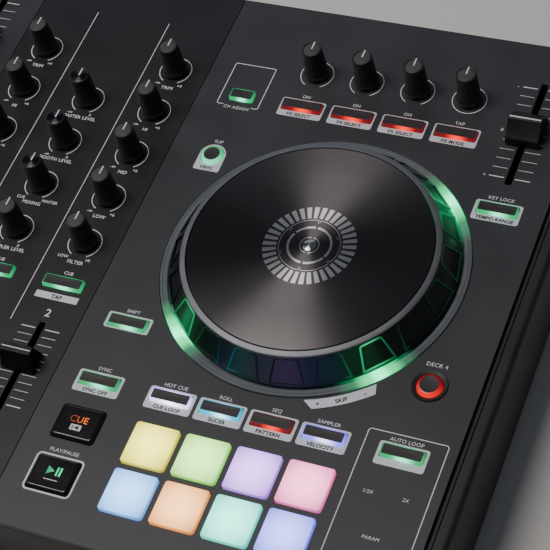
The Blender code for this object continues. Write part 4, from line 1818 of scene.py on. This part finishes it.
    def silver_print(self) -> None:
        """The silver patches under the keys and the crescent by the platter."""
        ink = Print(f"{self.side}_deck_silver_print", self.origin, self.panel)
        for node, (base, _, _) in self.key_sizes().items():
            if node == "channel_assign_key":
                continue
            x, y = self.plan_of(node)
            half = base[0] / 2 + 0.35
            hole = rounded(x - half, y - base[1] / 2 - 0.35, x + half, y + base[1] / 2 + 0.35, 1.0)
            side = 0.95 if node.startswith("fx") else 1.45
            label = 0.7 if node == "shift_key" else 3.7
            patch = rounded(x - half - side, y - base[1] / 2 - 0.4 - label, x + half + side,
                            y + base[1] / 2 + 1.25, 1.3)
            ink.add(patch, hole)
        x, y = self.plan_of("play_key")
        ink.add(*frame_lines(x - 12.6, y - 10.4, x + 12.6, y + 10.4, 2.6, 0.95))
        x, y = self.plan_of("slip_key")
        tomb = arc((x, y), 7.25, 0, 180, 24) + [(x - 7.25, y - 9.6), (x - 6.65, y - 10.4),
                                                (x + 6.65, y - 10.4), (x + 7.25, y - 9.6)]
        ink.add(tomb, arc((x, y), 6.45, 0, 360, 48)[:-1])
        centre = self.plan_of("platter")
        ink.add(arc(centre, 84.3, -70.5, -49.6, 20) + arc(centre, 79.2, -47.8, -73.2, 20))
        show(ink.lay(), SILVER_INK, ROOT)

    def dark_print(self) -> None:
        """The dark words on the silver patches."""
        ink = Print(f"{self.side}_deck_dark_print", self.origin, self.panel + INK, 0.05)
        low = {"sync_key": "SYNC OFF", "key_lock_key": "TEMPO RANGE", "fx_key_1": "FX SELECT",
               "fx_key_2": "FX SELECT", "fx_key_3": "FX SELECT", "fx_key_4": "FX MODE",
               "pad_mode_key_1": "CUE LOOP", "pad_mode_key_2": "SLICER",
               "pad_mode_key_3": "PATTERN", "pad_mode_key_4": "VELOCITY"}
        for node, text in low.items():
            x, y = self.plan_of(node)
            ink.word(text, x, y - 5.8, self.WORD)
        x, y = self.plan_of("slip_key")
        ink.word("VINYL", x, y - 8.4, 1.9)
        centre = self.plan_of("platter")
        for text, angle in (("+", -68.5), ("SKIP", -60.6), ("-", -52.6)):
            turn = math.radians(angle)
            ink.word(text, centre[0] + 81.8 * math.cos(turn), centre[1] + 81.8 * math.sin(turn),
                     2.2, turn=angle + 90.0)
        show(ink.lay(), BLACK_INK, ROOT)


@dataclass
class Mixer:
    """The mixer between the decks: panel, prints, knobs, fader caps and cue keys."""

    COLUMN = 40.0  # distance of the channels' faders from the middle
    SLOT = 5.9  # plan y of the middle of their slots
    TICK_PITCH = 4.5
    LINE = 0.4  # width of the printed dividing lines

    def __post_init__(self) -> None:
        """Reads the mixer's place from the frame."""
        low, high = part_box("mixer_plate")
        self.origin = (0.0, low[1] - PLAN_FRONT * MM)
        self.panel = high[2]

    def plan_of(self, node: str) -> Point:
        """Plan x and y of a node's middle, in millimetres."""
        low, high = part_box(node)
        return ((low[0] + high[0]) / 2 / MM, ((low[1] + high[1]) / 2 - self.origin[1]) / MM)

    def build(self) -> None:
        """Makes the whole mixer."""
        self.faceplate()
        self.knobs()
        self.faders()
        self.cue_keys()
        self.white_print()
        self.silver_print()

    def knob_names(self) -> list[str]:
        """Every mixer knob's node.

        Returns:
            The names.
        """
        names = [f"{side}_{row}_knob" for side in ("left", "right")
                 for row in ("filter", "low", "mid", "high", "trim")]
        return names + [f"{name}_knob" for name in ("sampler", "cue_mix", "booth", "master")]

    def cue_spots(self) -> dict[str, Point]:
        """Plan middles of the three cue keys."""
        x, y = self.plan_of("right_channel_cue_key")
        return {"left_channel": (-x, y), "sampler": (0.0, y), "right_channel": (x, y)}

    def faceplate(self) -> None:
        """The mixer's panel with its holes."""
        holes = [Hole(*self.plan_of(name), 6.6) for name in self.knob_names()]
        holes += [Hole(x, y, 22.6, 7.6, 1.0) for x, y in self.cue_spots().values()]
        holes += [Hole(side * self.COLUMN, self.SLOT, 3.5, 53.0, 1.0) for side in (-1, 1)]
        holes.append(Hole(*self.plan_of("crossfader_cap"), 53.0, 3.5, 1.0))
        faceplate("mixer_plate", "mixer_faceplate", holes, self.origin, MIXER_ENAMEL)

    def knobs(self) -> None:
        """The fourteen knobs."""
        for name in self.knob_names():
            x, y = self.plan_of(name)
            spun = name in ("cue_mix_knob", "booth_knob", "master_knob")
            top = KnobTop.SPUN if spun else KnobTop.RUBBER
            knob = Knob(name, name, x * MM, self.origin[1] + y * MM, self.panel, top)
            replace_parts(knob.build(), name)

    def faders(self) -> None:
        """The channel fader caps and the crossfader's."""
        for name, turn in (("left_channel_fader_cap", 0.0), ("right_channel_fader_cap", 0.0),
                           ("crossfader_cap", 90.0)):
            x, y = self.plan_of(name)
            cap = FaderCap(name, x * MM, self.origin[1] + y * MM, self.panel, 18.0 * MM,
                           12.0 * MM, turn, 0.93, 2.3 * MM, 1.8 * MM, 1.1)
            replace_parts(cap.build(), name)

    def cue_keys(self) -> None:
        """The cue keys; the right channel's moves."""
        for name, (x, y) in self.cue_spots().items():
            live = name == "right_channel"
            body = "right_channel_cue_key" if live else ROOT
            key = Key(f"{name}_cue_key", body, x * MM, self.origin[1] + y * MM, self.panel,
                      (22.0 * MM, 7.0 * MM), (20.6 * MM, 5.3 * MM), Glow.GREEN)
            piece = key.build()
            if live:
                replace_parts(piece, "right_channel_cue_key")

    def white_print(self) -> None:
        """Words, arcs, ticks and lines in white."""
        ink = Print("mixer_white_print", self.origin, self.panel, 0.012)
        ends = {"filter": ("LOW", "HI"), "low": ("-∞", "+6"), "mid": ("-∞", "+6"),
                "high": ("-∞", "+6"), "trim": ("-∞", "+9")}
        titles = {"high": "HI"}
        for side in ("left", "right"):
            for row, (low, high) in ends.items():
                spot = self.plan_of(f"{side}_{row}_knob")
                self.dial(ink, spot, titles.get(row, row.upper()), low, high)
        middle = {"master_knob": ("MASTER LEVEL", "-∞", "0"),
                  "booth_knob": ("BOOTH LEVEL", "-∞", "0"),
                  "cue_mix_knob": ("MIXING", "CUE", "MASTER"),
                  "sampler_knob": ("SAMPLER LEVEL", "-∞", "0")}
        for name, (title, low, high) in middle.items():
            self.dial(ink, self.plan_of(name), title, low, high)
        for side in (-1, 1):
            edge = side * 22.3
            ink.add(oblong(edge - self.LINE / 2, 30.1, edge + self.LINE / 2, 236.0))
            ink.ticks(side * self.COLUMN, self.SLOT, self.TICK_PITCH, ((-10.5, -2.6), (3.0, 10.9)))
        ink.word("1", -self.COLUMN, 38.3, 4.6)
        ink.word("2", self.COLUMN, 38.3, 4.6)
        for x, y in self.cue_spots().values():
            ink.word("CUE", x, y + 6.4, 2.0)
        x, y = self.plan_of("crossfader_cap")
        for index in range(-5, 6):
            tick = x + index * self.TICK_PITCH
            ink.add(oblong(tick - 0.17, y + 9.0, tick + 0.17, y + 13.0))
        show(ink.lay(), WHITE_INK, ROOT)

    def dial(self, ink: Print, spot: Point, title: str, low: str, high: str) -> None:
        """A knob's arc with its title below and a word at each end.

        Args:
            ink: The print that it is added to.
            spot: Plan place of the knob's axis.
            title: The word below the arc.
            low: The word at the arc's start.
            high: The word at the arc's end.
        """
        x, y = spot
        ink.add(band((x, y), 8.75, 9.2, -62, 242, 40))
        ink.word(title, x, y - 12.5, 2.15)
        ink.word(low, x - 5.0, y - 10.0, 1.8, Anchor.RIGHT)
        ink.word(high, x + 5.0, y - 10.0, 1.8, Anchor.LEFT)

    def silver_print(self) -> None:
        """The silver bands below the channel cue keys, and their dark words."""
        ink = Print("mixer_silver_print", self.origin, self.panel)
        words = Print("mixer_dark_print", self.origin, self.panel + INK, 0.05)
        for name, (x, y) in self.cue_spots().items():
            if name == "sampler":
                continue
            ink.add(oblong(x - 12.0, y - 10.7, x + 12.0, y - 6.7))
            words.word("TAP", x, y - 8.7, 2.3)
        show(ink.lay(), SILVER_INK, ROOT)
        show(words.lay(), BLACK_INK, ROOT)


# ---------------------------------------------------------------- case and rear


@dataclass
class Chassis:
    """The case, cheeks, feet, screws, rear sockets and the inner pieces that a gap may show."""

    def build(self) -> None:
        """Makes or dresses every piece of the chassis."""
        self.case()
        self.cheeks()
        self.feet()
        self.screws()
        self.rear()
        for node, finish in (("main_board", BOARD), ("left_platter_bearing", BEARING_STEEL),
                             ("right_platter_bearing", BEARING_STEEL)):
            slots = frame_nodes()[node].data.materials
            slots.clear()
            slots.append(finish.make())

    def refined(self, node: str, name: str, width: float) -> Piece:
        """A copy of a node's solid with its triangles merged and its edges rounded.

        Args:
            node: The CAD node.
            name: The copy's name.
            width: Width of the edges' rounding.

        Returns:
            The copy.
        """
        source = frame_nodes()[node]
        piece = bpy.data.objects.new(name, source.data.copy())
        bpy.context.scene.collection.objects.link(piece)
        piece.data.materials.clear()
        with editing(piece, faces=lambda polygon: True):
            bpy.ops.mesh.remove_doubles(threshold=1e-6)
            bpy.ops.mesh.dissolve_limited(angle_limit=math.radians(1.0))
        soften(piece, width, 3, 50.0)
        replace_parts(piece, node)
        return piece

    def case(self) -> None:
        """The bottom case with rounded edges, and the black trim line beside each deck."""
        show(self.refined("bottom_case", "case_shell", 0.8 * MM), CASE_ABS, ROOT)
        for side, sign in (("left", -1), ("right", 1)):
            low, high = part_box(f"{side}_side_cheek")
            deck_low, deck_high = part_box(f"{side}_deck_plate")
            inner = abs(high[0] if sign < 0 else low[0])
            outer = abs(deck_low[0] if sign < 0 else deck_high[0])
            middle = sign * (inner + outer + 0.7 * MM) / 2
            strip = cuboid(f"{side}_trim_strip", (0.6 * MM, high[1] - low[1], 2.4 * MM),
                           (middle, 0.0, high[2] - 1.7 * MM))
            show(soften(strip, 0.15 * MM, 2), GLOSS_ABS, ROOT)

    def cheeks(self) -> None:
        """The side cheeks, rounded along their outer top edge, with a groove inside it."""
        for side, sign in (("left", -1), ("right", 1)):
            node = f"{side}_side_cheek"
            low, high = (Vector(corner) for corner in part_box(node))
            cheek = cuboid(f"{side}_cheek_cover", tuple(high - low), (low + high) / 2)
            outer = (high if sign > 0 else low).x
            groove_x = (low if sign > 0 else high).x + sign * 1.6 * MM
            groove = cuboid("groove", (0.5 * MM, 0.5, 1.2 * MM), (groove_x, 0.0, high.z))
            cut(cheek, [groove])
            with editing(cheek, edges=self.top_edge(outer, high.z)):
                bpy.ops.mesh.bevel(offset=3.0 * MM, segments=6, affect="EDGES")
            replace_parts(cheek, node)
            show(soften(cheek, 0.3 * MM, 2, 45.0), CASE_ABS, ROOT)

    def top_edge(self, outer: float, top: float) -> Callable:
        """A test for the cheek's outer top edge.

        Args:
            outer: World x of the outer face.
            top: World height of the top.

        Returns:
            The test of an edge's two ends.
        """
        return lambda a, b: max(abs(a.x - outer), abs(b.x - outer)) < 1e-6 and min(a.z, b.z) > top - 1e-5

    def feet(self) -> None:
        """Rubber pads let into the moulded feet."""
        for x in (-1, 1):
            for y in (-1, 1):
                name = f"{'rear' if y > 0 else 'front'}_{'right' if x > 0 else 'left'}_foot_pad"
                profile = [(0.0, 0.0), (8.6 * MM, 0.0), (9.4 * MM, 0.5 * MM), (9.6 * MM, 1.2 * MM),
                           (11.3 * MM, 1.4 * MM), (11.3 * MM, 4.4 * MM), (0.0, 4.4 * MM)]
                pad = turned(name, profile, 48)
                moved(pad, x * 233.1 * MM, y * 139.0 * MM, 0.0)
                show(pad, FOOT_RUBBER, ROOT)

    def screws(self) -> None:
        """The case's screws, in their places underneath."""
        head = turned("screw_master", [(0.0, 0.0), (3.2 * MM, 0.0), (3.4 * MM, 0.3 * MM),
                                       (3.4 * MM, 1.2 * MM), (0.0, 1.2 * MM)], 32)
        cross = [cuboid("bit", (3.6 * MM, 0.8 * MM, 1.4 * MM), (0.0, 0.0, 0.0)),
                 cuboid("bit", (0.8 * MM, 3.6 * MM, 1.4 * MM), (0.0, 0.0, 0.0))]
        for bit in cross:
            cut(head, [bit])
        spots = [(x * MM, y * MM) for x in (-250, -120, 0, 120, 250) for y in (-155, 0, 155)
                 if (x, y) != (0, 0)]
        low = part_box("bottom_case")[0][2] + 4.4 * MM
        heads = [copied(head, "screw", x, y, low) for x, y in spots]
        discard(head)
        show(joined("case_screws", heads), SCREW_STEEL, ROOT)

    def rear(self) -> None:
        """The socket panel with its phono sockets, collars, tongue and pin."""
        panel = self.refined("rear_jack_panel", "socket_panel", 0.25 * MM)
        show(panel, CASE_ABS, ROOT)
        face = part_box("rear_jack_panel")[1][1] - 3.0 * MM
        for index in range(4):
            x = (-70.0 + 18.0 * index) * MM
            collar = [(3.0 * MM, 0.0), (6.2 * MM, 0.0), (6.2 * MM, 1.0 * MM), (5.6 * MM, 1.4 * MM),
                      (4.5 * MM, 1.4 * MM), (4.3 * MM, 0.4 * MM), (3.0 * MM, 0.4 * MM)]
            finish = PHONO_RED if index % 2 else PHONO_WHITE
            self.upright(turned(f"phono_collar_{index + 1}", collar, 32, True), x, face, finish)
            barrel = [(3.4 * MM, 0.0), (4.25 * MM, 0.0), (4.25 * MM, 3.0 * MM), (4.0 * MM, 3.2 * MM),
                      (1.9 * MM, 3.2 * MM), (1.7 * MM, 2.9 * MM), (3.4 * MM, 2.9 * MM)]
            self.upright(turned(f"phono_barrel_{index + 1}", barrel, 32, True), x, face, GOLD)
        nut = [(6.1 * MM, 0.0), (8.4 * MM, 0.0), (8.4 * MM, 1.2 * MM), (7.9 * MM, 1.5 * MM),
               (6.3 * MM, 1.5 * MM), (6.1 * MM, 1.2 * MM)]
        self.upright(turned("microphone_nut", nut, 48, True), -110.0 * MM, face, CHROME)
        pin = [(0.0, -9.0 * MM), (1.0 * MM, -9.0 * MM), (1.0 * MM, -1.2 * MM), (0.6 * MM, -0.6 * MM),
               (0.0, -0.5 * MM)]
        self.upright(turned("power_pin", pin, 24), 60.0 * MM, face, CHROME)
        tongue = cuboid("usb_tongue", (5.8 * MM, 8.0 * MM, 3.4 * MM),
                        (30.0 * MM, face - 6.0 * MM, 28.0 * MM))
        show(soften(tongue, 0.3 * MM, 2), PHONO_WHITE, ROOT)
        rocker = cuboid("power_rocker", (14.0 * MM, 1.6 * MM, 9.0 * MM),
                        (100.0 * MM, face + 0.9 * MM, 28.0 * MM))
        with editing(rocker, faces=lambda polygon: polygon.normal.y > 0.9):
            bpy.ops.mesh.inset(thickness=1.2 * MM)
            bpy.ops.transform.rotate(value=math.radians(5.0), orient_axis="Z",
                                     center_override=(100.0 * MM, face + 1.6 * MM, 28.0 * MM))
        show(soften(rocker, 0.25 * MM, 2), GLOSS_ABS, ROOT)
        self.rear_words(face)

    def upright(self, piece: Piece, x: float, face: float, finish: Finish) -> None:
        """Turns a piece that stands on +Z to stand out of the rear panel."""
        piece.rotation_euler.x = math.radians(-90.0)
        show(moved(piece, x, face, 28.0 * MM), finish, ROOT)

    def rear_words(self, face: float) -> None:
        """The sockets' generic words on the rear panel.

        Args:
            face: World y of the panel's outer face.
        """
        ink = Print("rear_print", (0.0, 0.0), 0.0)
        for text, x, y in (("MIC", 110.0, 0.0), ("BOOTH", 61.0, 0.0), ("MASTER", 25.0, 0.0),
                           ("USB", -30.0, 0.0), ("DC IN", -60.0, 0.0), ("POWER", -100.0, 0.0)):
            ink.word(text, x, y, 2.2)
        words = ink.lay()
        words.rotation_euler = (math.radians(90.0), 0.0, math.radians(180.0))
        show(moved(words, 0.0, face, 38.2 * MM), WHITE_INK, ROOT)


def frame_nodes() -> dict[str, Piece]:
    """The CAD nodes by name."""
    return FRAME["nodes"]


# ---------------------------------------------------------------- studio


@dataclass
class Studio:
    """A pale floor, soft lamps and the camera."""

    PLACE = (450.6 * MM, -455.2 * MM, 754.7 * MM)
    ANGLES = (36.70, 9.98, 21.19)
    LENS = 118.2

    def build(self) -> None:
        """Makes the floor, the lamps and the camera."""
        self.floor()
        self.lamps()
        self.camera()

    def floor(self) -> None:
        """A wide pale floor, which isn't part of the object."""
        bpy.ops.object.select_all(action="DESELECT")
        bpy.ops.mesh.primitive_plane_add(size=12.0, location=(0.0, 0.0, 0.0))
        floor = bpy.context.active_object
        floor.name = "floor"
        floor.data.materials.append(
            Finish("pale_paper", "d6d5d2", "dcdbd8", (0.7, 0.8), 3.0, 0.05, 200.0).make())

    def lamps(self) -> None:
        """Large soft area lamps, and an even dim sky."""
        setups = (
            ("overhead_softbox", (-0.36, -0.08, 1.5), (0.14, 0.0, 0.05), (0.5, 0.8), 14.4, "fff8f2"),
            ("rear_softbox", (-0.7, 1.7, 0.9), (0.05, 0.0, 0.05), (1.4, 0.5), 2.4, "dfe9ff"),
            ("left_softbox", (-1.7, -0.2, 1.2), (0.1, 0.0, 0.05), (0.9, 1.0), 5.0, "f2f5ff"),
        )
        for name, place, target, size, power, tint in setups:
            lamp = bpy.data.lights.new(name, "AREA")
            lamp.shape = "RECTANGLE"
            lamp.size, lamp.size_y = size
            lamp.energy = power
            lamp.color = linear(tint)[:3]
            holder = bpy.data.objects.new(name, lamp)
            holder.location = place
            aim = Vector(target) - Vector(place)
            holder.rotation_euler = aim.to_track_quat("-Z", "Y").to_euler()
            bpy.context.scene.collection.objects.link(holder)
        world = bpy.data.worlds.new("studio_air")
        world.use_nodes = True
        background = world.node_tree.nodes["Background"]
        background.inputs["Color"].default_value = linear("dfe6f4")
        background.inputs["Strength"].default_value = 0.13
        bpy.context.scene.world = world

    def camera(self) -> None:
        """The camera, close over the right deck."""
        lens = bpy.data.cameras.new("camera")
        lens.lens = self.LENS
        lens.sensor_width = 36.0
        lens.shift_y = -0.0018
        camera = bpy.data.objects.new("camera", lens)
        camera.location = self.PLACE
        camera.rotation_euler = tuple(math.radians(angle) for angle in self.ANGLES)
        bpy.context.scene.collection.objects.link(camera)
        bpy.context.scene.camera = camera


FRAME: dict = {}


def main() -> None:
    """Builds the studio and the object."""
    logging.basicConfig(level=logging.INFO, format="%(message)s")
    FRAME.update(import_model())
    bpy.ops.object.select_all(action="DESELECT")
    Studio().build()
    Chassis().build()
    Mixer().build()
    Deck("left", "3").build()
    Deck("right", "4").build()
    master = bpy.data.objects.get("knob_master")
    if master:
        discard(master)


if __name__ == "__main__":
    main()
